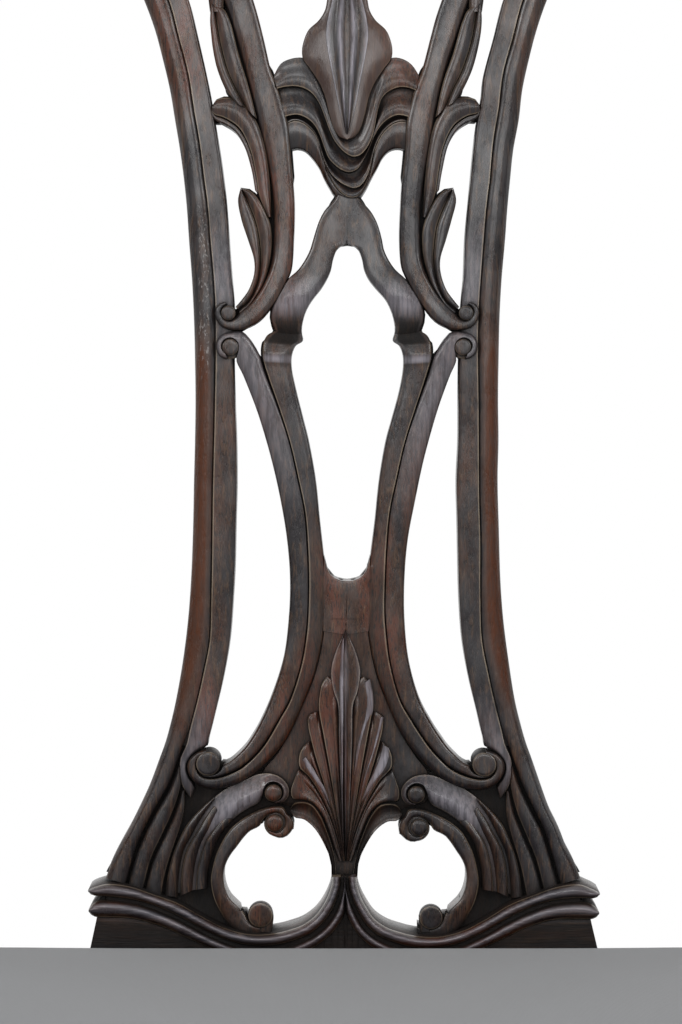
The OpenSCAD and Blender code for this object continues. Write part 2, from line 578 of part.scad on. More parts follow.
// One ring: inset from the covered seat's edge, drawn-in depth and height
function seat_ring(i, draw, z) = let (r = corner_r, y0 = seat_y0 + i + r, y1 = seat_y1 - i - r,
    x0 = side_x(y0, lip_w + seat_gap + i + r), x1 = side_x(y1, lip_w + seat_gap + i + r),
    arcs = [corner_arc([x0, y0], -90, r), corner_arc([x1, y1], 0, r), corner_arc([-x1, y1], 90, r),
        corner_arc([-x0, y0], 180, r)],
    flat = [for (k = [0 : 3])
        each concat(arcs[k], edge_line(arcs[k][arc_points - 1], arcs[(k + 1) % 4][0], draw))])
    [for (p = flat) [p[0], p[1], z]];
function towards_middle(ring, k, z) = let (m = middle(ring))
    [for (p = ring) [m[0] + (p[0] - m[0]) * k, m[1] + (p[1] - m[1]) * k, z]];
// The whole stack of rings, from its foot up over the crown, set in by a thickness
function soft_form(foot_z, rim_z, t) = let (
    top = pad_top - t, last = seat_ring(t + roll_w, draw_in, top)) concat(
    [seat_ring(t, 0, foot_z), seat_ring(t, 0, rim_z)],
    [for (s = roll_shares)
        seat_ring(t + s[0] * roll_w, draw_in * s[2], rim_z + over + s[1] * (top - rim_z - over))],
    [for (k = crown_shares) towards_middle(last, k, top + pad_crown * (1 - k * k))]);
module seat_stuffing() chair(hair) lofted(soft_form(stuffing_z, stuffing_z + over, cover_t + skin_gap));
module seat_cover() chair(grey_cloth) let (foot = ledge_z + skin_gap, rim = stuffing_z + over)
    skin(soft_form(foot, rim, 0), soft_form(foot, rim, cover_t));

front_leg_left();
front_leg_right();
rear_leg_left();
rear_leg_right();
front_rail();
back_rail();
side_rail_left();
side_rail_right();
knee_block_front_left();
knee_block_front_right();
knee_block_side_left();
knee_block_side_right();
corner_block_front_left();
corner_block_front_right();
corner_block_back_left();
corner_block_back_right();
corner_block_screws();
splat();
shoe();
shoe_dowels();
crest_rail();
seat_frame_front();
seat_frame_back();
seat_frame_left();
seat_frame_right();
seat_frame_dowels();
webbing_crosswise();
webbing_lengthwise();
hessian();
seat_stuffing();
seat_cover();
dust_cover();
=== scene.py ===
# %% [markdown]
# A dining chair with a pierced, carved back. The photograph is a close view of the carved splat, the
# moulded shoe that it stands in and the rear edge of a grey seat, so most of this lesson is about
# carving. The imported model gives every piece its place. Here each piece that shows gets its real surface
# and finish.

# %% The chair's frame
import math

import bmesh
import bpy
import numpy as np
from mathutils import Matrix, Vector
from mathutils.bvhtree import BVHTree
from mathutils.geometry import delaunay_2d_cdt


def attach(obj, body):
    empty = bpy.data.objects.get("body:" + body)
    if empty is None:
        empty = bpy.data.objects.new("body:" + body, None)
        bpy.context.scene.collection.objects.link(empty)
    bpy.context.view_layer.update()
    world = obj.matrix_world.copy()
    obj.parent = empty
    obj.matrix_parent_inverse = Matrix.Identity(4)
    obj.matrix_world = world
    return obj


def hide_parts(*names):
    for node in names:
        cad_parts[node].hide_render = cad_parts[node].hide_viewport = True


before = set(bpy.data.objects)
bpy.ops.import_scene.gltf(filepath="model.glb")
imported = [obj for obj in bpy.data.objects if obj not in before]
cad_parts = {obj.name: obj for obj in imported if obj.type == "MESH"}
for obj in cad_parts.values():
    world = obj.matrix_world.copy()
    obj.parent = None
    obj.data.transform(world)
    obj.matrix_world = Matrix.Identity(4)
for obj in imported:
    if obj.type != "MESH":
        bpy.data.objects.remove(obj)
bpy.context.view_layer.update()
print("nodes in the chair:", len(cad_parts))

# %% [markdown]
# The camera stands in front of the chair, a little above the seat, with a long lens. The back leans by
# nine degrees, so its carving is easiest to describe in the leaning board's own directions: x across the
# chair, u from the front face into the wood, and v up the board. Two small helpers go between a place in
# the photograph and a place on the board, at any depth of carving, and a third takes the board into the
# room.

# %% Camera
lean = math.radians(9)
splat_foot_y, splat_foot_z = 155.661, 440
camera_x, camera_u, camera_v = -2.16, -1484, 280.75
camera_dip = math.radians(2.77)
lens_px = 3298
photo_w, photo_h = 682, 1024
chair_axis_px = 345.8
facing_px = np.array([341.0, 352.5])
splat_thick = 20.0


def in_room(x, u, v):
    """A place on the leaning back in millimetres, as metres in the room."""
    x, u, v = np.broadcast_arrays(x, u, v)
    y = splat_foot_y + u * math.cos(lean) + v * math.sin(lean)
    z = splat_foot_z - u * math.sin(lean) + v * math.cos(lean)
    return np.stack([x, y, z], -1) * 0.001


def on_board(px, depth):
    """Where the photograph's place px falls on the board, at this depth: x and v."""
    a = (px[..., 0] - photo_w / 2) / lens_px
    b = (photo_h / 2 - px[..., 1]) / lens_px
    s = (depth - camera_u) / (math.cos(camera_dip) + b * math.sin(camera_dip))
    return camera_x + s * a, camera_v + s * (b * math.cos(camera_dip) - math.sin(camera_dip))


def in_photo(x, depth, v):
    """Where a place on the board shows in the photograph."""
    u, w = depth - camera_u, v - camera_v
    away = u * math.cos(camera_dip) - w * math.sin(camera_dip)
    up = u * math.sin(camera_dip) + w * math.cos(camera_dip)
    return np.stack([photo_w / 2 + lens_px * (x - camera_x) / away, photo_h / 2 - lens_px * up / away], -1)


camera = bpy.data.objects.new("camera", bpy.data.cameras.new("camera"))
bpy.context.collection.objects.link(camera)
camera.data.sensor_fit = "HORIZONTAL"
camera.data.sensor_width = 36
camera.data.lens = lens_px / photo_w * camera.data.sensor_width
camera.data.clip_end = 100
camera.location = in_room(camera_x, camera_u, camera_v)
camera.rotation_euler = (math.radians(90) - lean - camera_dip, 0, 0)
bpy.context.scene.camera = camera
bpy.context.scene.view_settings.view_transform = "Standard"
print("camera at", [round(c, 3) for c in camera.location], "lens", round(camera.data.lens, 1), "mm")

# %% [markdown]
# Every finish on the chair is worked out by nodes, so that it has grain, wear or weave at its real scale.
# Node graphs are easier to read as sums, so one small class wraps a socket and gives it the arithmetic
# signs, and one method adds any other node from its type, its settings and what its sockets take.

# %% A finish and its sums
class Wire:
    """A node's output that can be used in sums."""

    def __init__(self, finish, socket):
        self.finish, self.socket = finish, socket

    def sum_with(self, operation, *terms):
        return self.finish.node("ShaderNodeMath", {"operation": operation}, dict(enumerate(terms)))

    def __add__(self, other):
        return self.sum_with("ADD", self, other)

    def __sub__(self, other):
        return self.sum_with("SUBTRACT", self, other)

    def __rsub__(self, other):
        return self.sum_with("SUBTRACT", other, self)

    def __mul__(self, other):
        return self.sum_with("MULTIPLY", self, other)

    def clamped(self):
        wire = self.sum_with("ADD", self, 0)
        wire.socket.node.use_clamp = True
        return wire

    __radd__, __rmul__ = __add__, __mul__


def linear(r, g, b):
    """A colour written as 0 to 255, as it shows on a screen."""
    parts = [c / 255 for c in (r, g, b)]
    return tuple(c / 12.92 if c <= 0.04045 else ((c + 0.055) / 1.055) ** 2.4 for c in parts) + (1,)


class Finish:
    """A material that is built up node by node."""

    def __init__(self, name):
        self.material = bpy.data.materials.new(name)
        self.material.use_nodes = True
        self.tree = self.material.node_tree
        self.tree.nodes.clear()

    def node(self, kind, settings=None, sockets=None, out=0):
        made = self.tree.nodes.new(kind)
        for key, value in (settings or {}).items():
            if key == "stops":
                while len(made.color_ramp.elements) < len(value):
                    made.color_ramp.elements.new(0.5)
                for stop, (place, colour) in zip(made.color_ramp.elements, value):
                    stop.position, stop.color = place, colour
            else:
                setattr(made, key, value)
        for key, value in (sockets or {}).items():
            if isinstance(value, Wire):
                self.tree.links.new(value.socket, made.inputs[key])
            else:
                made.inputs[key].default_value = value
        return Wire(self, made.outputs[out])

    def blend(self, share, first, second):
        """Between two colours."""
        return self.node("ShaderNodeMix", {"data_type": "RGBA"}, {0: share, 6: first, 7: second}, out=2)

    def place(self, scale=(1, 1, 1), turn=(0, 0, 0)):
        at = self.node("ShaderNodeTexCoord", out=3)
        return self.node("ShaderNodeMapping", {}, {"Vector": at, "Scale": scale, "Rotation": turn})

    def noise(self, scale=(1, 1, 1), turn=(0, 0, 0), detail=3.0, rough=0.55, size=1.0):
        return self.node("ShaderNodeTexNoise", {},
                         {"Vector": self.place(scale, turn), "Scale": size, "Detail": detail,
                          "Roughness": rough})

    def between(self, wire, low, high):
        """0 below low, 1 above high, and a smooth step from one to the other."""
        return self.node("ShaderNodeMapRange", {"interpolation_type": "SMOOTHSTEP"},
                         {"Value": wire, "From Min": low, "From Max": high})

    def band(self, wire, edges):
        """1 between the middle two of four edges, and 0 outside the outer two."""
        return self.between(wire, *edges[:2]) * (1 - self.between(wire, *edges[2:]))

    def done(self, **sockets):
        """Ends in one surface shader, with a colour, a roughness and a relief among its sockets."""
        names = {key.replace("_", " "): value for key, value in sockets.items()}
        shader = self.node("ShaderNodeBsdfPrincipled", {}, names)
        out = self.tree.nodes.new("ShaderNodeOutputMaterial")
        self.tree.links.new(shader.socket, out.inputs["Surface"])
        return self.material

    def relief(self, height, depth):
        return self.node("ShaderNodeBump", {}, {"Height": height, "Distance": depth, "Strength": 1.0})


# %% [markdown]
# The wood is old mahogany under a dark stain and shellac. The stain has gathered in the hollows, and an
# occlusion node darkens them further, which is painted shade. Hands have worn the sharp edges back to a
# tan, and the polish shows the pale room as a grey sheen on every rounded face. The grain runs along each
# board, so the finish is made once for each direction. Short dark pores, a long streaky figure and patches
# of redder wood make the colour. Two numbers are stored on the carving. One, called tone, says how worn
# (above 0) or how stained (below 0) each place is; below 0 it is also painted shade in creases, folds and
# sunk grounds. The other, called sheen, is a painted pale highlight where it is above 0, and below 0 it is
# where the wood is redder and its polish is gone.

# %% Mahogany
stain_brown, wood_brown, wood_red = linear(27, 23, 26), linear(52, 31, 20), linear(84, 38, 18)
streak_tan, pore_dark, worn_tan = linear(92, 68, 48), linear(11, 8, 7), linear(150, 134, 114)
warm_brown, strap_red, painted_highlight_grey = linear(66, 42, 30), linear(74, 35, 9), linear(158, 154, 163)
scuff_grey, stain_and_shade_black = linear(160, 156, 154), linear(9, 7, 6)
scuffs_x, scuffs_z = (-0.0668, -0.0655, -0.0622, -0.0608), (0.700, 0.715, 0.775, 0.79)


def mahogany(name, grain="z", turn=(0, 0, 0), carved=False):
    wood = Finish(name)
    along = {"x": (0.07, 1, 1), "y": (1, 0.07, 1), "z": (1, 1, 0.07)}[grain]
    stretch = lambda k: tuple(k * a for a in along)
    figure = wood.noise(stretch(150), turn, 4.0, 0.6)
    streaks = wood.noise(stretch(620), turn, 3.0, 0.6)
    pores = wood.noise(stretch(1900), turn, 2.0, 0.5)
    patches = wood.noise(tuple(21 if a == 1 else 9 for a in along), turn, 2.0, 0.5)
    smears = wood.noise((75, 75, 48), turn, 4.0, 0.62)
    # The occlusion darkens hollows in the colour: partly stain gathered there, partly painted shade.
    hollow = wood.node("ShaderNodeAmbientOcclusion", {"samples": 6}, {"Distance": 0.009}, out=1)
    brown = wood.between(patches * 0.6 + figure * 0.4, 0.43, 0.58)
    fiery = wood.between(patches, 0.50, 0.66) * wood.between(figure, 0.44, 0.62)
    colour = wood.blend(brown, stain_brown, wood_brown)
    colour = wood.blend(fiery * (0.7 if carved else 0.4), colour, wood_red)
    colour = wood.blend(wood.between(streaks, 0.48, 0.72) * 0.5, colour, streak_tan)
    colour = wood.blend(wood.between(pores, 0.52, 0.64) * 0.8, colour, pore_dark)
    dark = 1 - wood.between(hollow, 0.35, 0.97)
    worn = wood.between(smears, 0.22, 0.52) * wood.between(hollow, 0.35, 0.75)
    bare = 1.0
    if carved:
        # A tone below 0 darkens the colour as stain, and as painted shade in creases, folds and sunk grounds.
        tone = wood.node("ShaderNodeAttribute", {"attribute_name": "tone"}, out=2)
        dark = (dark + wood.between(0 - tone, 0.0, 1.0)).clamped()
        worn = worn * wood.between(tone, 0.10, 1.0)
        colour = wood.blend(worn * 0.7, colour, worn_tan)
        # A sheen above 0 paints a pale highlight into the colour; below 0 the wood is redder and less
        # polished.
        sheen = wood.node("ShaderNodeAttribute", {"attribute_name": "sheen"}, out=2)
        vivid = wood.between(0 - sheen, 0.75, 1.3)
        bare = 1 - 0.8 * vivid
        colour = wood.blend(wood.between(0 - sheen, 0, 1) * 0.75, colour, warm_brown)
        colour = wood.blend(vivid * (0.3 + 0.6 * wood.between(streaks, 0.4, 0.6)), colour, strap_red)
        colour = wood.blend(sheen.clamped() * (0.45 + 0.55 * wood.between(streaks, 0.35, 0.6)), colour,
                            painted_highlight_grey)
        at = wood.node("ShaderNodeSeparateXYZ", {}, {0: wood.place()})
        x, z = (Wire(wood, at.socket.node.outputs[k]) for k in (0, 2))
        marks = wood.band(x, scuffs_x) * wood.band(z, scuffs_z)
        scuffs = wood.noise((1100, 900, 420), (0, 0.5, 0), 3.0, 0.65)
        colour = wood.blend(marks * wood.between(scuffs, 0.57, 0.64) * 0.45, colour, scuff_grey)
    # The stain and painted shade of hollows, creases and folds go into the colour here.
    colour = wood.blend(dark * 0.9, colour, stain_and_shade_black)
    gloss = wood.between(smears, 0.30, 0.72)
    relief = wood.relief(pores * -0.7 + streaks * 0.9 + smears * 2.4, 0.00026)
    coat = (0.15 + 0.6 * gloss) * (1 - dark) * (1.0 if carved else 0.4) * bare
    return wood.done(Base_Color=colour, Roughness=0.24 + 0.14 * gloss + 0.4 * dark, Normal=relief,
                     Specular_IOR_Level=0.2, Coat_Weight=coat, Coat_Roughness=0.22)


carved_upright = mahogany("mahogany_legs", "z", carved=True)
carved_mahogany = mahogany("mahogany_carved", "z", (-lean, 0, 0), carved=True)
upright_mahogany = mahogany("mahogany_upright", "z")
crosswise_mahogany = mahogany("mahogany_crosswise", "x", carved=True)
rail_mahogany = mahogany("mahogany_rail", "x")
side_mahogany = mahogany("mahogany_side", "y")
print("wood finishes made:", len(bpy.data.materials))

# %% [markdown]
# The carver cuts each band, leaf or feather between two lines drawn on the board, and rounds or hollows
# it across. The same idea builds the mesh: a carving is a strip between two given lines, with a
# depth profile across it. Subdividing a rough block and sculpting it would blur the crisp lines; a strip
# keeps them, because the lines are its own edges. Each strip is a closed solid with a skirt that goes
# back into the board, or right through it where the edge is also the side of an opening.

# %% Lines through points
line_steps, tiny = 8, 1e-6


def smooth_line(points):
    """A smooth line through the points, with a number that says how far along the list each place is."""
    p = np.array(points, float)
    rows = np.vstack([2 * p[0] - p[1], p, 2 * p[-1] - p[-2]])
    line = []
    for i in range(len(p) - 1):
        q = rows[i:i + 4]
        knot = np.concatenate([[0], np.cumsum(np.sqrt(np.linalg.norm(np.diff(q, axis=0), axis=1) + tiny))])
        t = np.linspace(knot[1], knot[2], line_steps, endpoint=False)[:, None]
        mix = lambda a, b, i, j: ((knot[j] - t) / (knot[j] - knot[i]) * a
                                  + (t - knot[i]) / (knot[j] - knot[i]) * b)
        first, second, third = mix(q[0], q[1], 0, 1), mix(q[1], q[2], 1, 2), mix(q[2], q[3], 2, 3)
        line.append(mix(mix(first, second, 0, 2), mix(second, third, 1, 3), 1, 2))
    return np.vstack(line + [p[-1:]])


def even_places(line, count):
    """The line at so many even distances, and how far along its point list each place is."""
    run = np.concatenate([[0], np.cumsum(np.linalg.norm(np.diff(line, axis=0), axis=1))])
    s = np.linspace(0, run[-1], count)
    places = np.stack([np.interp(s, run, line[:, k]) for k in (0, 1)], -1)
    return places, np.interp(s, run, np.arange(len(line)) / line_steps)


def facing_places(a, b, match, gap):
    """Two lines as places that face one another. match lists the points of each that belong together."""
    line_a, line_b = smooth_line(a), smooth_line(b)
    cuts = [(0, 0)] + [(i % len(a), j % len(b)) for i, j in match] + [(len(a) - 1, len(b) - 1)]
    parts = []
    for (i, j), (k, m) in zip(cuts, cuts[1:]):
        part_a = line_a[i * line_steps:k * line_steps + 1]
        part_b = line_b[j * line_steps:m * line_steps + 1]
        length = sum(np.linalg.norm(np.diff(w, axis=0), axis=1).sum() for w in (part_a, part_b)) / 2
        count = max(4, round(length / gap))
        (pa, ia), (pb, ib) = even_places(part_a, count), even_places(part_b, count)
        keep = slice(0 if not parts else 1, None)
        parts.append([pa[keep], pb[keep], (ia + i)[keep], (ib + j)[keep]])
    return [np.concatenate(column) for column in zip(*parts)]


# %% Faces between points
def tube_faces(count, ring, caps=2):
    """The faces between rings of points, with its first end closed, or both."""
    faces = [(i * ring + j, i * ring + (j + 1) % ring, (i + 1) * ring + (j + 1) % ring, (i + 1) * ring + j)
             for i in range(count - 1) for j in range(ring)]
    return faces + [tuple(range(ring)), tuple((count - 1) * ring + j for j in range(ring))][:caps]


def sheet_faces(columns, rows):
    """The faces of a grid of points, listed column by column."""
    return [(i * rows + j, (i + 1) * rows + j, (i + 1) * rows + j + 1, i * rows + j + 1)
            for i in range(columns - 1) for j in range(rows - 1)]


# %% [markdown]
# One function cuts every strip. It sets the two lines face to face, bends the profile between them, stores
# the worn rims, and the stained grooves with their painted shade, as numbers on the points, and closes the
# strip with its skirt. It also keeps the strip's outline for the board that all of them stand on. A second
# number, sheen, paints pale highlights into the colour above 0, and redder wood below 0.

# %% The carver's strip
mm_per_px = 0.45
through_depth, ground_depth = 19.4, 8.0
arris_mm, arris_most, bevel_mm, bevel_most = 0.32, 0.06, 0.85, 0.12
face_start, face_steps, flute_steps = 0.16, 9, 8
open_softens, inner_wear, open_rim, stained_shaded_rim = 0.6, 0.25, 0.1, 0.8
board_inside_mm, board_inside_share, board_under_mm = 0.25, 0.3, 0.8
carvings = {}
board_outlines = []
axis_faces = np.array([0.0, 0.25])


def along_strip(value, t):
    """A number, or pairs of share and number, at each place along a strip."""
    return np.interp(t, *zip(*value)) if isinstance(value, (list, tuple)) else np.full(len(t), float(value))


def at_opening(openings, index):
    """1 where a line's place is the side of an opening. openings is True, False or pairs of point numbers."""
    if isinstance(openings, bool):
        return np.full(len(index), float(openings))
    return np.any([(index >= lo) & (index <= hi) for lo, hi in openings], axis=0).astype(float)


def edge_on_board(p, other, depth, opening):
    """An edge's x and v. Where an opening's far wall shows, the photograph's line is the wall's back edge."""
    out = p - other
    out /= np.linalg.norm(out, axis=1, keepdims=True) + tiny
    inward = facing_px - p
    inward /= np.linalg.norm(inward, axis=1, keepdims=True) + tiny
    shows = np.clip(((out * inward).sum(1) - axis_faces[0]) / (axis_faces[1] - axis_faces[0]), 0, 1) * opening
    front, back = on_board(p, depth), on_board(p, splat_thick)
    return [f * (1 - shows) + b * shows for f, b in zip(front, back)]


def carve(piece, a, b, top=1.0, edge=3.0, edge_a=None, edge_b=None, power=2.2, crown=0.5, lip=0.35, wear=0.6,
          wear_a=None, shade=0.0, open_a=False, open_b=False, match=(), gap=4.5, floor=9.0,
          through=through_depth, inset=0.0, flutes=None, seam_b=False, board=True, sheen=0.0, sheen_wide=1.0,
          sheen_at=None):
    """One carved strip of a piece, between the lines a and b in photo pixels. Depths are in millimetres.

    The face lies at depth top, at the share crown of its width, and falls to depth edge by the given power.
    Its rims drop by lip and are worn by wear; a wear below 0 darkens a rim instead, as stain and painted
    shade where it tucks under a neighbour. open_a and open_b say where a line is an opening's side: there
    the skirt goes to depth through, and elsewhere to floor. flutes is how many hollows there are, and their
    depth. shade darkens the strip along its length, as painted shade in folds and sunk places. sheen above 0
    paints a pale highlight into the colour, and below 0 makes the wood redder.
    seam_b is where line b only meets another strip. sheen_at is the share of the width where the sheen peaks.
    """
    pa, pb, ia, ib = facing_places(a, b, match, gap)
    width = np.linalg.norm(pa - pb, axis=1, keepdims=True) + tiny
    pull = np.minimum(inset, width * 0.3) * (pb - pa) / width
    pa, pb = pa + pull, pb - pull
    t = np.linspace(0, 1, len(pa))
    depth_a, depth_b = (along_strip(edge if e is None else e, t) for e in (edge_a, edge_b))
    crest = along_strip(top, t)
    side_a, side_b = at_opening(open_a, ia), at_opening(open_b, ib)
    xa, va = edge_on_board(pa, pb, depth_a, side_a)
    xb, vb = edge_on_board(pb, pa, depth_b, side_b)
    pa, pb = in_photo(xa, depth_a, va), in_photo(xb, depth_b, vb)
    wide = np.linalg.norm(pa - pb, axis=1)[:, None] * mm_per_px + 0.01
    near, far = np.minimum(arris_mm / wide, arris_most), np.minimum(bevel_mm / wide, bevel_most)
    steps = face_steps if flutes is None else flutes[0] * flute_steps + 1
    middle = np.linspace(face_start, 1 - face_start, steps)
    s = np.hstack([0 * near, near, far, np.tile(middle, (len(t), 1)), 1 - far, 1 - near, 0 * near + 1])
    bent = s ** (math.log(0.5) / math.log(crown))
    side = np.where(bent < 0.5, depth_a[:, None], depth_b[:, None])
    depth = crest[:, None] + (side - crest[:, None]) * np.abs(2 * bent - 1) ** power
    tone = np.repeat(along_strip(shade, t)[:, None], depth.shape[1], 1)
    # light is stored as sheen: a painted highlight above 0, redder wood below 0; on flutes it lies along the
    # ridges.
    spread = bent if sheen_at is None else s ** (math.log(0.5) / math.log(sheen_at))
    light = along_strip(sheen, t)[:, None] * np.clip(1 - np.abs(2 * spread - 1) / sheen_wide, 0, 1) ** 0.7
    if flutes is not None:
        hollow = np.abs(np.sin(math.pi * flutes[0] * s))
        depth += flutes[1] * hollow
        light = along_strip(sheen, t)[:, None] * (1 - 1.25 * hollow)
    plain = at_opening(seam_b, ib)
    depth[:, 0] += lip
    depth[:, -1] += lip * (1 - plain)
    first_wear = wear if wear_a is None else wear_a
    # Worn rims go pale; rims that meet another strip are darkened, as stain and painted shade in the crease.
    for rim, inward, worn, open_side in ((0, 1, first_wear, side_a), (-1, -1, wear * (1 - plain), side_b)):
        tone[:, rim + inward] = worn * (1 - open_softens * open_side)
        tone[:, rim + 2 * inward] = inner_wear * worn
        tone[:, rim] = open_rim * open_side - stained_shaded_rim * (1 - open_side)
    tone[:, -1] *= 1 - plain
    px = pa[:, None] * (1 - s[..., None]) + pb[:, None] * s[..., None]
    x, v = on_board(px, depth)
    back_a, back_b = (floor + (through - floor) * open_side for open_side in (side_a, side_b))
    rows = [np.stack([x, depth, v], -1),
            np.stack([x[:, -1], back_b, v[:, -1]], -1)[:, None],
            np.stack([x[:, 0], back_a, v[:, 0]], -1)[:, None]]
    # Skirt backs that go into the board are darkened the same way, as painted shade.
    skirts = [((side - 1) * (floor < through))[:, None] for side in (side_b, side_a)]
    tones = np.stack([np.hstack([tone] + skirts),
                      np.pad(light, ((0, 0), (0, 2)))], -1).reshape(-1, 2)
    points = np.concatenate(rows, 1)
    carvings.setdefault(piece, []).append((points.reshape(-1, 3), tube_faces(*points.shape[:2]), tones))
    if board:
        outline = []
        for x_edge, v_edge, x_other, v_other, side in ((x[:, 0], v[:, 0], x[:, -1], v[:, -1], side_a),
                                                       (x[:, -1], v[:, -1], x[:, 0], v[:, 0], side_b)):
            away = np.stack([x_edge - x_other, v_edge - v_other], -1)
            far_off = np.linalg.norm(away, axis=1, keepdims=True) + tiny
            inside = np.minimum(board_inside_mm, board_inside_share * far_off)
            step = np.where(side[:, None] > 0.5, -inside, board_under_mm)
            outline.append((np.stack([x_edge, v_edge], -1) + away / far_off * step)[::2])
        board_outlines.append(np.vstack([outline[0], outline[1][::-1]]))


button_rings, button_spokes = [0.0, 0.18, 0.36, 0.54, 0.7, 0.82, 0.91, 0.97, 1.0], 30
# The two negative tones darken the boss's rim and foot, as stain and painted shade where it meets the ground.
button_drop, button_worn, button_stain_and_shade, button_foot_stain_and_shade, button_board = 0.35, 0.5, -0.9, -0.3, 0.94


def button(piece, centre, radius, top=0.3, edge=2.2, power=6.0, floor=through_depth, board=True):
    """A small round boss, such as the eye of a scroll."""
    turn = np.arange(button_spokes) / button_spokes * 2 * math.pi
    circle = np.stack([np.cos(turn), np.sin(turn)], -1) * radius
    points, tones = [], []
    for k in button_rings:
        depth = top + (edge - top) * k ** power + (button_drop if k == 1.0 else 0.0)
        x, v = on_board(np.array(centre) + circle * max(k, 0.02), depth)
        points.append(np.stack([x, np.full(button_spokes, depth), v], -1))
        tones.append(np.full(button_spokes, button_worn if 0.9 < k < 1 else button_stain_and_shade if k == 1.0
                             else 0.0))
    last = points[-1].copy()
    last[:, 1] = floor
    points.append(last)
    tones.append(np.full(button_spokes, button_foot_stain_and_shade))
    faces = tube_faces(len(points), button_spokes)
    carvings.setdefault(piece, []).append((np.concatenate(points), faces, np.concatenate(tones)))
    if board:
        middle = last[:, [0, 2]].mean(0)
        board_outlines.append(middle + (last[:, [0, 2]] - middle) * button_board)


# %% [markdown]
# The carving is symmetrical, but cut by hand: the right half differs from the left by a few pixels. So
# the left half's lines are given, and the right half is their mirror image, moved by listed nudges.

# %% The right half from the left
nudges_px = [
    (144, 0, -0.6, 0), (163, 60, 0.2, 0), (175, 120, 2.2, 0), (186, 200, 2.7, 0), (193, 300, 1.6, 0),
    (195.6, 400, 2, 0), (193.7, 500, -0.4, 0), (190, 600, -0.4, 0), (176, 700, -0.8, 0), (159, 760, -0.4, 0),
    (133, 820, -3.4, 0), (116, 850, -6.6, 0), (106, 874, -5.3, 0), (88, 891, -3.6, 3), (189, 0, 0.4, 0),
    (212, 100, 0.7, 0), (227, 200, 3.1, 0), (233, 290, 3.9, 0), (236, 400, 1.6, 0), (238, 500, 1.4, 0),
    (233, 600, 0.6, 0), (218, 700, 0.9, 0), (210, 20, 0.3, 0), (239, 190, 2.4, 0), (241, 220, 1.5, 0),
    (252, 250, 2.5, 0), (253, 280, 3.5, 0), (253, 0, 3.5, 0), (264, 40, 2.3, 0), (292, 160, 4.2, 0),
    (295, 200, 3.6, 0), (294, 250, 1.2, 0), (291, 270, 1.9, 0), (327, 0, 3.0, 0), (304, 40, 2.9, 0),
    (319, 170, 2.9, 0), (316, 230, 3.9, 0), (333, 260, 3.4, 0), (313, 300, 6.5, 0), (303.5, 320, 5.3, 0),
    (292, 360, 3.1, 0), (299, 400, 4, 0), (309, 440, 2.8, 0), (318, 500, 3, 0), (324, 560, 2.4, 0),
    (236, 361, 1, 0), (253, 400, 2.4, 0), (266, 440, 4.2, 0), (281, 500, 4.2, 0), (289, 560, 3.5, 0),
    (289, 620, 1.5, 0), (270, 700, -1.8, 0), (246, 742, 1.1, 0), (210, 762, 0.8, 0.8), (273, 793, -2, 1.6),
    (274, 822, 2.2, 4.4), (259, 913, -3, 2.6), (331, 874, -2.9, 0), (325, 898, -3, 1), (310, 917, -3, 2.5),
    (290, 925, -2, 2.5), (217.5, 70, -2, 0), (226, 90, -3, 0), (224, 119, 0, -2), (239, 130, 1, -2),
    (243, 331, 2.5, 0), (250, 345, 2.5, 0),
] + [(347.1, y, 2.6, 0) for y in range(-30, 600, 60)] + [(345.6, y, -0.4, 0) for y in range(610, 960, 50)]


nudge_spread = 40


def mirrored(points):
    """The right half's line for a line of the left half."""
    p = np.array(points, float)
    table = np.array(nudges_px)
    near = 1 / (((p[:, None] - table[None, :, :2]) ** 2).sum(-1) + nudge_spread) ** 1.5
    shift = (near[..., None] * table[None, :, 2:]).sum(1) / near.sum(1, keepdims=True)
    return np.stack([2 * chair_axis_px - p[:, 0] + shift[:, 0], p[:, 1] + shift[:, 1]], -1).tolist()


def carve_pair(piece, a, b, **how):
    carve(piece + "_left", a, b, **how)
    carve(piece + "_right", mirrored(a), mirrored(b), **how)


def carve_middle(piece, a, **how):
    carve(piece, a, mirrored(a), **how)


def button_pair(piece, centre, radius, **how):
    button(piece + "_left", centre, radius, **how)
    button(piece + "_right", mirrored([centre])[0], radius, **how)


# %% [markdown]
# The outer strap runs down each side of the splat in two bands with a dark groove between them: a rounded
# one outside, and a nearly flat one inside with a worn arris. Below the big scroll the outer band goes on
# as the first of three flutes that fan out over the shoe, and the inner one ends in a small tail.

# %% Outer straps
outer_edge = [(129, -34), (144, 0), (155, 30), (163, 60), (170, 90), (175, 120), (180, 150), (184, 180),
              (187, 210), (189, 240), (192, 280), (194, 320), (195, 360), (195.5, 400), (195, 440),
              (194, 480), (193, 530), (191, 580), (188, 620), (183, 660), (176, 700), (170.5, 724),
              (165.5, 742), (159, 760), (150, 784), (139, 808), (130, 826), (120, 844), (112, 860),
              (106, 878)]
strap_line = [(152, -34), (167.5, 0), (178, 39), (187, 74), (192.5, 109), (198, 141), (203, 180),
              (206.5, 207), (209, 239), (212, 272), (214, 304), (214.5, 339), (213.5, 408), (211.5, 495),
              (211, 540), (210, 600), (208.5, 640), (202.5, 672), (195.5, 703), (189, 728), (184, 742)]
flute_line_1 = [(177, 762), (168, 785), (155, 808), (143, 831), (134, 853), (125.5, 884)]
flute_line_2 = [(180, 789), (172.5, 812), (162, 835), (151, 859), (143, 889)]
flute_line_3 = [(184.5, 790), (184, 812), (178, 834), (170, 857), (164.5, 877), (161, 897)]
strap_inner_edge = [(174, -34), (189, 0), (199, 40), (208, 80), (212, 100), (217, 130), (222, 160),
                    (227, 200), (230, 240), (233, 280), (235, 305), (235, 360), (236, 400), (237.5, 440),
                    (238, 480), (237, 520), (236, 560), (233.5, 600), (230, 640), (223, 680), (215.5, 712),
                    (209.5, 736), (206.5, 745)]


def moved(points, dx, dy=0.0):
    return [(x + dx, y + dy) for x, y in points]


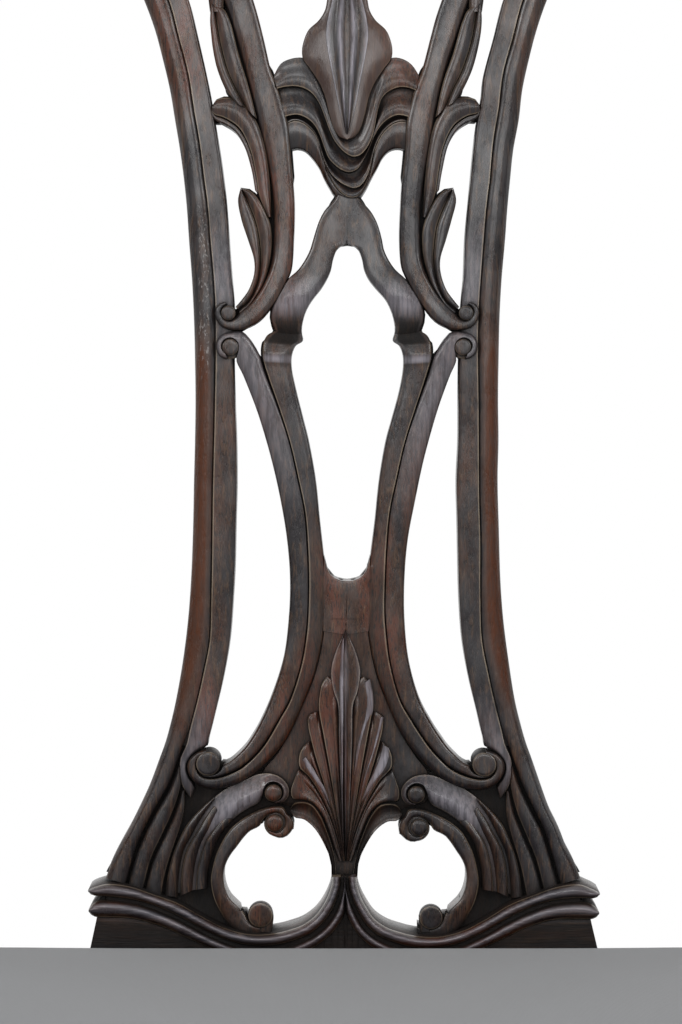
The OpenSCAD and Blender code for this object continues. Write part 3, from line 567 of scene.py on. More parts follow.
carve_pair("splat_strap", outer_edge, strap_line + flute_line_1, top=0.8, edge_a=4.6, edge_b=1.9, power=2.8,
           crown=0.58, open_a=[(0, 28.4)], match=[(22, 20)], gap=5, wear_a=0.4, wear=0.2, seam_b=[(0, 20)],
           sheen=[(0.38, 0), (0.45, -2.2), (0.7, -2.4), (0.79, -1.2), (0.85, 0)], sheen_wide=0.95,
           sheen_at=0.3)
# The sheen lays a painted highlight on the inner band part way down and on its tail.
carve_pair("splat_strap", moved(strap_line, 1.0)[:-1]
           + [(186, 745), (180.5, 758), (179.5, 770), (181, 783), (185, 791), (190.2, 797)], strap_inner_edge
           + [(198, 750.5), (190, 758), (186.5, 768), (190, 779), (195, 786), (190.8, 797)],
           top=[(0, 1.5), (0.9, 1.6), (0.97, 2.2), (1, 4.0)],
           edge_a=[(0, 1.3), (0.9, 1.7), (0.97, 2.6), (1, 4.4)], edge_b=[(0, 2.2), (0.9, 2.4), (1, 4.6)],
           power=5, wear=0.3, wear_a=1.0, sheen=[(0.3, 0), (0.34, 0.15), (0.385, 0.3), (0.44, 0.15),
                                                 (0.48, 0), (0.86, 0), (0.93, 0.3), (0.97, 0.3), (1, 0)],
           sheen_wide=2, open_b=[(0, 22)], match=[(19, 21)], gap=5)
# A dark strip under the two bands, seen through the groove between them, is painted shade.
carve_pair("splat_strap", outer_edge[:23], strap_inner_edge, top=3.0, edge=3.1, inset=3, shade=-1, wear=-1,
           open_a=True, open_b=True, gap=9, board=False)
carve_pair("splat_strap", moved(flute_line_1, 1.8, 3), [(179.5, 768), (180.8, 779)] + flute_line_2, top=1.6,
           edge=2.6, edge_a=3.4, wear=0.5, wear_a=0.1, power=2)
carve_pair("splat_strap", moved(flute_line_2, 1.8, 3), flute_line_3, top=2.0, edge=2.8, edge_a=3.6, wear=0.5,
           wear_a=0.1, power=2)
print("strips cut so far:", sum(len(c) for c in carvings.values()))

# %% [markdown]
# Between the straps, near the top, leaves curl off the inner strap. Each leaf is cut as two rounded lobes
# that fall to a thin vein. The inner strap is a plain rounded band that sweeps out from the shell and
# winds under a small round eye, as a scroll on the outer strap.

# %% Leaves and upper scrolls
def leaf_pair(piece, a, vein, b, open_a=False, open_b=False, top=0.8, edge=2.0, **how):
    carve_pair(piece, a, vein, top=top, edge_a=edge, edge_b=top + 1.5, open_a=open_a, gap=3.5, power=2.4,
               crown=0.4, **how)
    carve_pair(piece, vein, b, top=top, edge_a=top + 1.5, edge_b=edge, open_b=open_b, gap=3.5, power=2.4,
               crown=0.6, **how)


carve_pair("splat_leaves", [(206, -34), (207.5, -15), (208.5, 0), (210, 12)],
           [(221, -34), (223, -15), (224, 0), (223.5, 11)], top=0.9, edge=2.9, open_a=True, wear=0.8)
leaf_pair("splat_leaves", [(211, 4), (210, 20), (211, 33), (213, 50), (217.5, 70), (226, 90), (236, 103)],
          [(213, 5), (215, 13), (220, 43), (228, 72), (236, 89), (246, 108)],
          [(212, 4), (224, 9), (230, 20), (239, 54), (247, 80), (252, 98), (257, 119)], open_a=[(0, 5)],
          wear=0.9)
carve_pair("splat_leaves", [(212, 107), (216, 100), (226, 97), (241, 101), (257, 122), (266, 150), (270, 180),
                            (271.5, 217)], [(212, 107), (213, 114), (224, 118), (239, 128), (250, 150),
                                            (255.5, 174), (259, 196), (268, 217)], top=0.8, edge_a=2.6,
           edge_b=1.8, wear=0.9, gap=3.5, open_b=[(8, 9)])
carve_pair("splat_leaves", [(212, 108), (214, 115), (224, 119), (238.5, 129), (249.5, 150), (255.5, 175),
                            (258, 192)], [(211.5, 109), (213, 118), (222, 125), (234, 131), (244, 146),
                                          (251.5, 170), (255, 190)], top=1.6, edge_a=1.8, edge_b=2.6, power=3,
           wear=0.5, open_b=[(2, 6)], gap=3.5)
leaf_pair("splat_leaves", [(240.5, 188.5), (238, 200), (241.5, 220), (248, 240), (254, 260), (254, 274),
                           (248.5, 290), (241.5, 300), (235.5, 307)],
          [(242, 190), (246, 198), (256, 224), (259.5, 243), (260.5, 262), (257.5, 283), (249, 301),
           (238.5, 310)], [(241, 188.5), (249, 190), (256, 195.5), (265, 210), (271, 226), (272, 243),
                           (270, 261), (263, 285), (256, 297), (249.5, 306), (240.5, 314)], open_a=True,
          wear=1.0)
upper_strap_left = [(208, -34), (224, 0), (235, 33), (246, 72), (257, 115), (267, 157), (273, 196),
                    (274, 228), (271, 265), (259.5, 291), (249, 304.5), (241, 311.5), (235, 317.5),
                    (229, 320.2), (223.5, 317.5), (221, 312), (223.5, 306.5), (227, 304.5)]
upper_strap_right = [(240, -34), (253, 0), (259, 20), (264, 40), (271, 70), (278, 88), (283, 105), (288, 125),
                     (290.5, 150), (293, 180), (294.6, 205), (293.7, 240), (291, 270), (285, 286),
                     (279.5, 297), (272.5, 307.5), (266, 316), (260, 322), (253, 326.5), (246, 329.2),
                     (240, 330.5), (232, 330.2), (223.5, 328), (217.5, 322), (214.5, 313.5), (217.5, 305),
                     (224.5, 302)]
carve_pair("splat_scrolls", upper_strap_left, upper_strap_right,
           top=[(0, 1.2), (0.6, 0.9), (0.8, 0.3), (0.9, -0.8), (1, -0.9)],
           edge_a=[(0, 2.8), (0.7, 2.6), (0.8, 1.8), (0.9, 1.0), (1, 0.8)],
           edge_b=[(0, 2.8), (0.7, 2.4), (0.82, 1.4), (0.9, 0.6), (1, 0.8)], power=4.2, wear=0.5, wear_a=0.1,
           open_b=[(0, 4), (9, 19)], match=[(9, 12), (11, 17)], gap=4)
button_pair("splat_scrolls", (228.3, 313.0), 7.5, top=-1.1, edge=-0.2, power=10)
print("strips cut so far:", sum(len(c) for c in carvings.values()))

# %% [markdown]
# A ribbon crosses the middle as a tall Y. It folds over just below the scrolls, and its two legs run down
# beside the keyhole opening, close under it, and turn outwards as long bands that end in the big scrolls.
# The lower inner strap starts at the second small scroll and runs beside the ribbon down to the same big
# scroll.

# %% Ribbon, lower straps and big scrolls
ribbon_arm_left = [(337, 195), (334, 200), (325, 210), (319.5, 220), (316, 230), (313, 240), (310, 250),
                   (305, 260), (298, 270), (288, 279), (282, 289), (276, 299), (271.5, 310), (271.5, 321),
                   (274.5, 330.5), (277, 338)]
ribbon_arm_right = [(347.1, 195), (347.1, 215), (347.1, 232), (347, 244), (341, 247), (337, 250), (333, 260),
                    (331, 270), (327, 280), (321, 290), (313, 300), (307, 310), (303.5, 320), (302, 330),
                    (303, 340)]
# The arm carries a painted highlight where it rounds over, and painted shade where it folds under.
carve_pair("splat_ribbon", ribbon_arm_left, ribbon_arm_right,
           top=[(0, 3.4), (0.3, 2.4), (0.62, 0.9), (0.72, 0.5), (0.84, 1.2), (0.94, 3.2), (1, 5.4)],
           edge_a=[(0, 4.4), (0.3, 3.6), (0.7, 1.6), (0.86, 2.4), (1, 6)],
           edge_b=[(0, 3.4), (0.3, 2.4), (0.4, 2.6), (0.7, 1.6), (0.86, 2.4), (1, 6)], power=3.5,
           open_a=[(1.6, 9)], open_b=[(4, 14)], seam_b=[(0, 3.2)], match=[(4, 3), (9, 8)], gap=4, wear=0.2,
           shade=[(0, 0), (0.84, 0), (0.9, -0.7), (1, -1)],
           sheen=[(0.56, 0), (0.68, 0.35), (0.78, 0.55), (0.84, 0.25), (0.88, 0)], sheen_wide=1.5)
ribbon_leg_left = [(274.5, 331), (267, 335.5), (262.8, 345), (262.6, 358), (267.5, 375), (279, 408),
                   (290, 443), (298.5, 480), (305, 512), (308, 549), (309, 582), (308.5, 610), (307, 632),
                   (302, 663), (290, 701), (279.5, 720), (270.5, 736), (262.5, 748), (252, 759.5), (242, 768),
                   (233, 773), (222.5, 777), (211, 779), (202, 777), (197, 771.5), (196, 764), (199, 757.5),
                   (206, 754)]
ribbon_leg_right = [(302, 333), (303, 341), (296, 346), (292.3, 355), (292, 368), (296.5, 390), (304, 420),
                    (309, 440), (316, 480), (320, 520), (324, 556), (325.5, 575), (325, 608), (323, 638),
                    (315, 673), (302, 707), (292, 729), (282.5, 745), (272, 757.5), (261, 768), (249.5, 777),
                    (236, 784.3), (222.5, 788.3), (210, 788.8), (200, 786), (191.3, 779), (187, 768.5),
                    (188.8, 760), (196, 753), (206, 749.5)]
# The leg is dark with painted shade where it comes out of the fold, has a thin painted highlight just below,
# and is darker further down.
carve_pair("splat_ribbon", ribbon_leg_left, ribbon_leg_right,
           top=[(0, 4.6), (0.015, 3.4), (0.03, 1.7), (0.048, 0.9), (0.07, 1.3), (0.5, 1.6), (0.8, 1.1),
                (0.9, 0.2), (1, -0.2)], edge_a=[(0, 5), (0.03, 2.8), (0.08, 1.7), (0.5, 1.3), (0.8, 1.2),
                                                (0.92, 1.0), (1, 1.4)],
           edge_b=[(0, 5), (0.04, 2.4), (0.5, 3.2), (0.8, 3.2), (0.92, 2.0), (1, 1.6)], power=3.6, crown=0.42,
           open_a=[(0.4, 1.6)], open_b=[(0, 10.5)], match=[(7, 8), (11, 12), (14, 15), (18, 19)], gap=2,
           wear=0.1, wear_a=0.9, shade=[(0, -1), (0.024, -1), (0.034, -0.4), (0.046, 0), (0.3, 0),
                                        (0.45, -0.4), (0.7, -0.5), (0.8, -0.2), (1, 0)],
           sheen=[(0.048, 0), (0.053, 0.5), (0.061, 0.65), (0.0635, 0)], sheen_wide=2)
lower_strap_left = [(224.5, 352), (221.5, 348), (222.3, 341.5), (226.5, 338), (232.5, 337), (238, 340),
                    (240.5, 346), (239, 352), (236.2, 359.5), (243, 375), (253, 400), (260, 420),
                    (271.5, 460), (280.5, 500), (287, 540), (290, 580), (288.5, 620), (283, 660), (270, 700),
                    (259, 724), (251, 736), (246.5, 742), (240.5, 748.5), (231.5, 756.5), (223.5, 761),
                    (222, 768), (217, 773), (209.5, 775), (203, 773), (200, 768.5)]
lower_strap_right = [(227.5, 359.5), (221, 357.3), (217, 352), (216.3, 342.5), (221, 335.3), (231.5, 331.8),
                     (241.5, 331.5), (249.5, 338), (255, 346), (258.3, 352), (265.6, 375), (278, 408),
                     (289.3, 443), (297.8, 480), (304.3, 512), (307.3, 549), (308.3, 582), (307.8, 610),
                     (306.3, 631), (301.2, 663), (289, 701), (278.6, 719.5), (269.6, 735.5), (261.5, 747.3),
                     (251.2, 758.8), (241.4, 767.2), (232.6, 772), (222.3, 776), (210.7, 778), (201.3, 776),
                     (197, 770)]
# The sheen lays a painted highlight on the strap where it leaves the small scroll.
carve_pair("splat_scrolls", lower_strap_left, lower_strap_right,
           top=[(0, -1.0), (0.08, -0.8), (0.14, 0.2), (0.3, 1.1), (0.85, 1.0), (1, 0.8)],
           edge_a=[(0, 0.6), (0.1, 0.8), (0.2, 2.8), (0.86, 3.0), (0.92, 1.8), (1, 1.4)],
           edge_b=[(0, 0.8), (0.08, 0.8), (0.16, 2.0), (0.3, 1.7), (0.8, 1.6), (1, 2.0)], power=4.0,
           wear=0.15, wear_a=0.5, open_a=[(8, 24)], open_b=[(6, 9)],
           match=[(9, 9), (12, 12), (15, 16), (18, 20), (24, 26)], gap=4,
           sheen=[(0, 0.2), (0.2, 0.35), (0.32, 0.15), (0.45, 0)], sheen_wide=2)
button_pair("splat_scrolls", (229.5, 346.6), 12.6, top=1.0, edge=1.6, power=9)
button_pair("splat_scrolls", (230.3, 347), 8.6, top=-0.9, edge=0, power=10)
button_pair("splat_scrolls", (208.0, 763.8), 12.3, top=-0.6, edge=0.4, power=12)
print("strips cut so far:", sum(len(c) for c in carvings.values()))

# %% [markdown]
# At the top hangs a shell: lappets that lie one under another, each with its free edge lifted, and a
# fluted leaf down the front. The lappets of the two sides swing past each other at the bottom, so each
# line is drawn from the left strap, round the bottom, to the right strap. A strip fills the space between
# one line and the next, deep where it comes out from under its neighbour and high at its own free edge.

# %% The shell
leaf_edge = [(334, -34), (329, -12), (327, 0), (325, 10), (319, 20), (308.5, 30), (304, 40), (302, 50),
             (303, 59), (310, 69), (319, 83), (325, 98), (329, 115), (334, 130), (340, 137.5), (347, 139.5)]
lappet_start = [(273.5, 76), (281, 63.5), (290, 59), (301, 57.5), (309, 60), (319, 75), (326, 90), (331, 106),
                (336, 124), (341, 133), (348, 135), (356, 133), (361, 123), (366, 107), (371, 91), (377, 76),
                (386, 61), (394, 57.5), (404, 59.5), (412, 65), (420, 77)]
shell_line_1 = [(277, 89), (286, 87), (295, 86.5), (304, 88.5), (312, 93.5), (319, 103), (324, 115),
                (329, 129), (334, 140), (340, 148), (346, 153.5), (353, 157), (360, 155.5), (367, 148),
                (373, 135), (376, 120), (379, 106), (383, 97), (390, 91), (399, 87.5), (408, 88), (416, 91)]
shell_line_2 = [(283, 118), (289, 116), (297, 115), (305, 117.5), (312, 122.5), (318, 131), (322, 141),
                (325.5, 151), (329, 159), (335, 165.5), (342, 170.5), (349, 172.5), (357, 169.5), (363, 161),
                (369, 149), (374, 137), (380, 127), (388, 119.5), (397, 115.5), (406, 116.5), (411, 119)]
shell_line_3 = [(286, 124), (293, 120.5), (301, 121.5), (308, 126), (315, 133.5), (319, 143), (321.5, 153),
                (325, 163), (331, 174), (338, 181), (346, 186), (353, 188.5), (360, 186.5), (366, 179),
                (370, 169), (372.5, 157), (376, 145), (381, 135), (388, 127), (396, 122), (404, 121),
                (409, 124)]
shell_line_4 = [(319.5, 146), (321.5, 155), (324.5, 165), (329, 175), (334, 184), (340, 192), (347, 197),
                (353, 198), (359, 195.5), (364, 188), (368.5, 178), (371.5, 166), (373, 156)]
shell_foot = [(287, 155), (291.5, 152), (297, 150.5), (305, 152.5), (312.5, 160), (319.5, 170), (324, 180),
              (329.5, 190), (336, 199), (347, 202.5), (359, 199), (366, 190), (371, 180), (377, 170),
              (382, 160), (388, 153.3), (394, 150.7), (400.5, 150.7), (407, 154)]
carve("splat_shell", shell_line_3[:8] + shell_line_4[2:11] + shell_line_3[15:], shell_foot, top=3.0,
      edge_a=3.4, edge_b=5.0, crown=0.35, power=2, open_b=True, gap=3.5, wear=0.2, wear_a=0.8,
      match=[(3, 3), (11, 9), (18, 15)])
# A wear_a below 0 darkens the rim where each lappet comes out from under the next, as painted shade.
carve("splat_shell", moved(shell_line_3[6:17], 0, -1), shell_line_4, top=2.5, edge_a=4.6, edge_b=2.9,
      crown=0.75, gap=3, wear=1.0, wear_a=-1)
carve("splat_shell", shell_line_2, shell_line_3, top=3.2, edge_a=5.6, edge_b=3.0, crown=0.8, gap=3, wear=0.9,
      wear_a=-1, match=[(5, 5), (11, 10), (16, 17)])
carve("splat_shell", shell_line_1, shell_line_2, top=1.9, edge_a=4.4, edge_b=2.2, crown=0.74, gap=3, wear=1.0,
      wear_a=-0.9, match=[(5, 5), (11, 11), (16, 16)])
carve("splat_shell", lappet_start, shell_line_1, top=1.3, edge_a=3.2, edge_b=1.6, crown=0.72, gap=3, wear=1.0,
      wear_a=-0.2, open_a=[(0, 3.3), (16.7, 20)], match=[(5, 5), (10, 11), (15, 16)])
leaf_flutes = [(338, -34), (335, -12), (331, 5), (327.5, 20), (326, 35), (328, 52), (331.5, 70), (335, 88),
               (338.5, 106), (342, 122), (346, 134)]
carve_middle("splat_shell", leaf_edge, top=0.4, edge=1.9, power=5, open_a=[(0, 8)], open_b=[(0, 8)], gap=2.5,
             wear=0.7, sheen=-0.7, sheen_wide=4)
# The flutes' sheen is a painted highlight along their ridges; the leaf's sheen below 0 only makes it redder.
carve_middle("splat_shell", leaf_flutes, top=-1.5, edge=0.3, power=2, flutes=(3, 1.0), lip=0.05, gap=2.5,
             wear=0.1, sheen=[(0, 0.4), (0.3, 0.8), (0.7, 0.85), (1, 0.7)], board=False)
print("strips cut so far:", sum(len(c) for c in carvings.values()))

# %% [markdown]
# Low in the middle a fan of plump petals stands on a sunk ground between the two long bands. A carver cuts
# the middle blade and lets each pair of petals sink a little behind the one before. Here each petal is two
# strips between its folds, and narrow strips on top are facets with a painted highlight in their colour.
# The sunk ground and the tucked-under sides of the petals are darkened with painted shade.

# %% The fan
carve_pair("splat_fan", [(347.2, 578.5), (339, 577.5), (332, 573.5), (327, 565.5), (324.3, 554)],
           [(346.6, 634), (341, 634), (335, 633), (329, 632), (323.3, 631)], top=2.4, edge_a=2.6, edge_b=2.4,
           open_a=True, seam_b=True, lip=0.1, wear=0.0, wear_a=0.3, power=6)
# The sunk ground under the fan is darkened with painted shade.
carve_middle("splat_fan", [(324.5, 618), (322, 640), (314, 675), (300, 709), (288, 735), (274, 757),
                           (262, 772), (262, 798), (288, 806), (312, 822), (326, 842), (333, 868)],
             top=[(0, 2.36), (0.2, 3.4), (0.5, 5.2), (1, 6.2)], inset=0.5,
             edge=[(0, 2.4), (0.2, 4.0), (0.5, 6.0), (1, 7.0)], wear=0.0, shade=-0.35, gap=6, power=4)
fan_folds = [
    [(337, 682), (338, 705), (339, 740), (340.5, 780), (342.3, 820), (344.6, 861)],
    [(318.5, 709), (323, 735), (328.5, 765), (334.5, 800), (340, 835), (344, 861)],
    [(311, 741), (316, 760), (324, 785), (332, 810), (339, 837), (343.4, 861)],
    [(299.3, 767), (309, 777), (320, 794), (330, 815), (338, 840), (342.6, 861)],
    [(292.5, 799), (302, 800), (312, 803.5), (321, 814), (328, 830), (335, 851), (339, 861)],
]
petal_tips = [
    ([(327, 676.5), (322, 683), (319, 697)], [(329, 676.5), (333.5, 677)]),
    ([(313, 712.5), (308, 716), (308, 727)], [(315, 712.3), (319.5, 712)]),
    ([(309, 741.5), (302, 748), (298.7, 757)], [(310, 741), (312, 741.5)]),
    ([(298.5, 769), (294, 780), (290.5, 791)], [(299.3, 768), (301.5, 768)]),
]
# Each petal's side that sinks behind the one before has a dark rim of painted shade (wear below 0).
for level, (outer_tip, inner_tip) in reversed(list(enumerate(petal_tips))):
    sunk = 0.55 * level
    carve_pair("splat_fan", outer_tip + fan_folds[level + 1], inner_tip + moved(fan_folds[level], 0.8, 0),
               top=[(0, 2.6 + sunk), (0.07, 1.3 + sunk), (0.6, 2.2 + sunk), (1, 4.2)],
               edge_a=[(0, 3.0 + sunk), (0.1, 2.2 + sunk), (0.6, 3.2 + sunk), (1, 5)],
               edge_b=[(0, 4 + sunk), (0.1, 3.8 + sunk), (1, 5.2)], crown=0.3, power=1.7, gap=3, wear=-0.6,
               wear_a=0.9, board=False)
    carve_pair("splat_fan", [(x + 0.52 * (w - x), y + 0.5 * (z - y)) for (x, y),
                             (w, z) in zip(fan_folds[level + 1][-6:-1], fan_folds[level][-6:-1])]
               + [(343.6, 861)], moved(fan_folds[level], 0.8, 0),
               top=[(0, 3.0 + sunk), (0.12, 2.0 + sunk), (1, 4.2)], edge_a=[(0, 3.4 + sunk), (1, 5)],
               edge_b=[(0, 3.8 + sunk), (1, 5.2)], crown=0.4, power=1.8, gap=3, wear=-0.6, wear_a=0.6,
               board=False)
blade_edge = [(345.6, 630), (340.5, 641), (335.5, 652), (331, 670), (333, 690)] + fan_folds[0][1:]
# The blade's sheen is a painted highlight along its ridge.
carve_middle("splat_fan", blade_edge, top=[(0, 1.2), (0.12, 0.2), (0.8, 1.4), (1, 4.0)],
             edge=[(0, 2.0), (0.2, 1.9), (0.8, 2.8), (1, 5)], power=1.2, flutes=(2, 1.0), gap=3, wear=0.8,
             sheen=0.3, board=False)
painted_highlight_facets = [
    ([(344.3, 638), (344.0, 680), (343.6, 720), (343.2, 760), (342.8, 800), (343.6, 850)],
     [(342, 640), (339.6, 680), (340.1, 715), (340.9, 755), (341.4, 795), (343.1, 850)], 0.5),
    ([(364.5, 683), (367, 700), (365, 715), (361.5, 730), (357, 748), (353.5, 775)],
     [(370, 679), (373, 695), (372.6, 712), (367, 728), (362, 748), (356, 775)], 0.9),
    ([(380.5, 717), (376.5, 735), (371.5, 755), (365, 775), (359, 800)],
     [(384, 717), (380.5, 733), (375, 752), (368, 772), (361, 800)], 1.5),
    ([(383, 745), (380, 757), (374, 772), (366, 788), (359, 803)],
     [(389, 748), (392, 760), (388.5, 771), (378, 782), (365, 800)], 2.0),
    ([(306, 757), (313, 768), (320, 780), (326, 790), (331, 806)],
     [(302, 760), (308.5, 773), (317, 785), (323, 794), (330, 808)], 2.0),
]
for inner_line, outer_line, level in painted_highlight_facets:
    carve("splat_fan", inner_line, outer_line, top=[(0, level), (1, level + 1.4)],
          edge_a=[(0, level + 0.4), (1, level + 1.8)], edge_b=[(0, level + 0.9), (1, level + 2.2)],
          sheen=[(0, 0.5), (0.2, 0.8), (0.5, 0.7), (0.8, 0.35), (1, 0)], sheen_wide=1.3, wear=0, lip=0,
          seam_b=True, power=1.6, crown=0.4, gap=3, floor=6, board=False)

# %% [markdown]
# Under the fan two hollow arches meet over the stem, and at each side a feathered wing grows out of a small
# scroll. The wing is one broad strip with three narrow ones laid on it as its feathers. A relief map could
# carry the feathers, but as strips they cast real shadows.

# %% Arches and wings
arch_edge = [(290.5, 812), (295, 817.5), (304, 819.5), (315, 829), (325.5, 847), (330.7, 861), (331.5, 878)]
arch_line = [(290.5, 808.5), (294, 803), (300, 801.6), (311, 804), (320, 815), (327.5, 833), (334, 854),
             (336.5, 878)]
# The hollow arches are darkened along their length with painted shade.
carve_pair("splat_fan", arch_edge, arch_line, top=5.2, edge_a=4.2, edge_b=2.4, power=2, open_a=[(0, 7)],
           gap=3, wear=0.9, wear_a=0.1, shade=-0.5)
carve_middle("splat_fan", [(333, 850), (334.5, 862), (335, 876), (335, 884)], top=5.5, edge=5.0, gap=4,
             wear=0.2)
wing_top = [(164.5, 896), (168, 872), (173.5, 852), (180.5, 836), (191, 819), (200, 809.5), (213.5, 797.5),
            (222.5, 790.5), (231.5, 785), (246, 778.8), (258, 773.8), (271.5, 773.3), (282.3, 778.5),
            (288.5, 787), (288.5, 796), (283.5, 802), (277, 803.5)]
wing_foot = [(207.5, 887), (208.5, 868.5), (211, 858), (217, 840.5), (222.5, 831.5), (236, 817), (249.5, 808),
             (258, 803.5), (262, 797), (261.8, 790.5), (265, 784.5), (271.5, 782), (279, 784.5),
             (282.5, 790.5), (282, 796.5), (278, 800.5), (274, 801.5)]
# The wing's sheen lays a painted highlight on its upper face near the scroll.
carve_pair("splat_wings", wing_top, wing_foot, top=[(0, 4.2), (0.3, 3.2), (0.55, 1.6), (0.75, 1.0), (1, 1.2)],
           edge=[(0, 5.4), (0.5, 4.2), (0.75, 3.4), (1, 2.6)], gap=3.5, match=[(10, 7)], wear=0.8, power=1.8,
           crown=0.64, sheen=[(0, 0.05), (0.3, 0.12), (0.5, 0.62), (0.62, 0.58), (0.74, 0.25), (1, 0.1)],
           sheen_wide=1.3)
button_pair("splat_wings", (273.3, 793), 8.8, top=0.2, edge=1.8)
feathers_px = [
    ([(214, 797), (200, 809.5), (191, 819), (185, 827), (180.5, 836), (173.5, 852), (168, 872), (164.6, 896)],
     [(214, 800), (203, 815), (196, 827), (190, 838), (184.5, 848), (181, 860), (178.7, 876), (177.5, 897)]),
    ([(214, 806), (205, 818), (198, 830), (192.5, 839), (187, 849), (183.5, 860), (181, 876), (180, 896)],
     [(219, 812), (211, 826), (202.7, 840.5), (198, 854), (195.6, 865), (194, 878), (193, 890)]),
    ([(222, 818), (215, 827), (205.5, 841), (200.7, 854), (197.8, 866), (196, 878), (195.3, 890)],
     [(233, 819.5), (222.5, 831), (217, 840.5), (211, 859), (208.5, 868.5), (207.5, 888)]),
]
for upper, lower in feathers_px:
    carve_pair("splat_wings", upper, lower, top=[(0, 2.6), (0.3, 1.4), (1, 2.4)],
               edge=[(0, 3.2), (0.3, 3.2), (1, 4.6)], power=2.0, crown=0.4, gap=3.5, wear=0.2, wear_a=0.8,
               board=False)

# %% [markdown]
# Beneath each wing a C-shaped band winds up at both ends round a small eye. It is one strip from its lower
# end to its upper end, with a button for each eye. The lower eyes of the two sides differ a little, so they
# and the small tails beside them are placed one by one.

# %% Scrolls under the wings
scroll_inner = [(271.5, 925), (262, 927), (253, 924), (247, 917.5), (240.5, 906), (235, 898), (228, 886),
                (225.2, 873), (226.4, 861), (231, 850.5), (240.5, 838.5), (250, 831), (259.5, 826),
                (264, 819), (270, 814), (277, 813), (283.5, 817), (284.5, 824.5), (281, 830.5),
                (275.5, 832.5), (269, 830)]
scroll_outer = [(271.5, 931), (258, 936), (243, 934.5), (229.5, 926), (216, 904), (212, 892), (210.5, 880),
                (212, 869), (216, 854), (221.5, 842), (229.5, 829.5), (241, 819.5), (256.5, 811),
                (267, 807.5), (279, 806), (290, 810.5), (294.5, 818.5), (292.3, 830), (285.5, 837),
                (278.5, 838), (270, 834.5)]
carve_pair("splat_wings", scroll_inner, scroll_outer,
           top=[(0, 3.0), (0.1, 1.8), (0.5, 1.2), (0.8, 0.8), (1, 1.6)],
           edge_a=[(0, 3.0), (0.6, 2.6), (0.75, 2.4), (1, 2.2)], edge_b=[(0, 3.0), (0.7, 2.6), (1, 3.0)],
           open_a=[(3.6, 12)], open_b=[(14.4, 19)], gap=3.5, match=[(4, 4), (7, 6), (12, 11)], wear=0.8,
           power=4)
button_pair("splat_wings", (277.4, 823.4), 13.4, top=2.2, edge=3.0, power=9)
button_pair("splat_wings", (274.6, 823.2), 8.6, top=0.3, edge=1.6)
for side, eye_px, size_px in (("left", (260.4, 915.3), 12.4), ("right", (431, 917.8), 11.8)):
    button("splat_wings_" + side, eye_px, size_px, top=1.2, edge=1.6, power=14, floor=8.5, board=False)
tail_how = dict(top=1.8, edge=2.2, power=6, floor=9, wear=0.4, gap=3, board=False)
carve("splat_wings_left", [(272.6, 913), (273.4, 919), (272.8, 925), (271.5, 932)],
      [(260, 912), (260, 919), (260, 925), (260, 932)], **tail_how)
carve("splat_wings_right", [(418.9, 917), (418.9, 921), (419.6, 926), (421, 932)],
      [(429, 921), (429, 924), (429.5, 928), (430, 932)], **tail_how)

# %% [markdown]
# Between the strips the wood is cut down to a flat ground. Each sunk ground is one outline, drawn a little
# under the strips around it, so that no gap shows at their feet.

# %% Sunk grounds
side_ground = [(174, 748), (196, 752), (212, 778), (232, 776), (262, 772), (290, 735), (300, 735), (330, 760),
               (346, 780), (346, 884), (336, 884), (335, 862), (326, 838), (312, 821), (297, 812), (286, 822),
               (268, 816), (249, 824), (233, 840), (220, 860), (217, 876), (221, 897), (235, 920), (252, 932),
               (256, 950), (220, 946), (180, 925), (150, 900), (114, 884), (116, 866), (132, 834), (152, 796),
               (166, 764)]
stem_foot = [(346.8, 870), (336, 874), (334, 884), (329, 897), (321, 909.5), (311, 918), (297, 924.5),
             (280, 930), (262, 932), (262, 952), (346.8, 952)]
leaf_ground = [(256, 186), (273, 178), (277, 225), (272, 240), (262, 214)]
scroll_ground = [(244, 303), (256, 294), (263, 296), (252, 311), (240, 322), (230, 322), (231, 312),
                 (236, 309)]
stem_ground = [(328, 575), (347, 583), (347, 640), (322, 640), (322, 600)]
knot_ground = [(222, 326), (240, 327), (243, 340), (240, 352), (234, 359), (222, 356)]
eye_ground = [(212, 778), (204, 766), (219, 764), (226, 763), (233, 761.5), (240, 766), (232, 776)]
grounds = [side_ground, stem_foot, leaf_ground, scroll_ground, knot_ground, stem_ground, eye_ground]
for ground in grounds + [mirrored(g) for g in grounds]:
    board_outlines.append(np.stack(on_board(np.array(ground, float), ground_depth), -1))
print("strips cut in all:", sum(len(c) for c in carvings.values()))

# %% [markdown]
# All the strips stand on one board. Its outline is the union of every strip's own outline and the sunk
# grounds, which a constrained triangulation gives without any boolean. The board's front is the deep
# ground behind the carving, and its back is the plain, flat back of the splat.

# %% Carvings into pieces
weld_m, weld_mm, sharp_corner, ground_stain_and_shade = 0.00002, 0.002, 38, -0.9


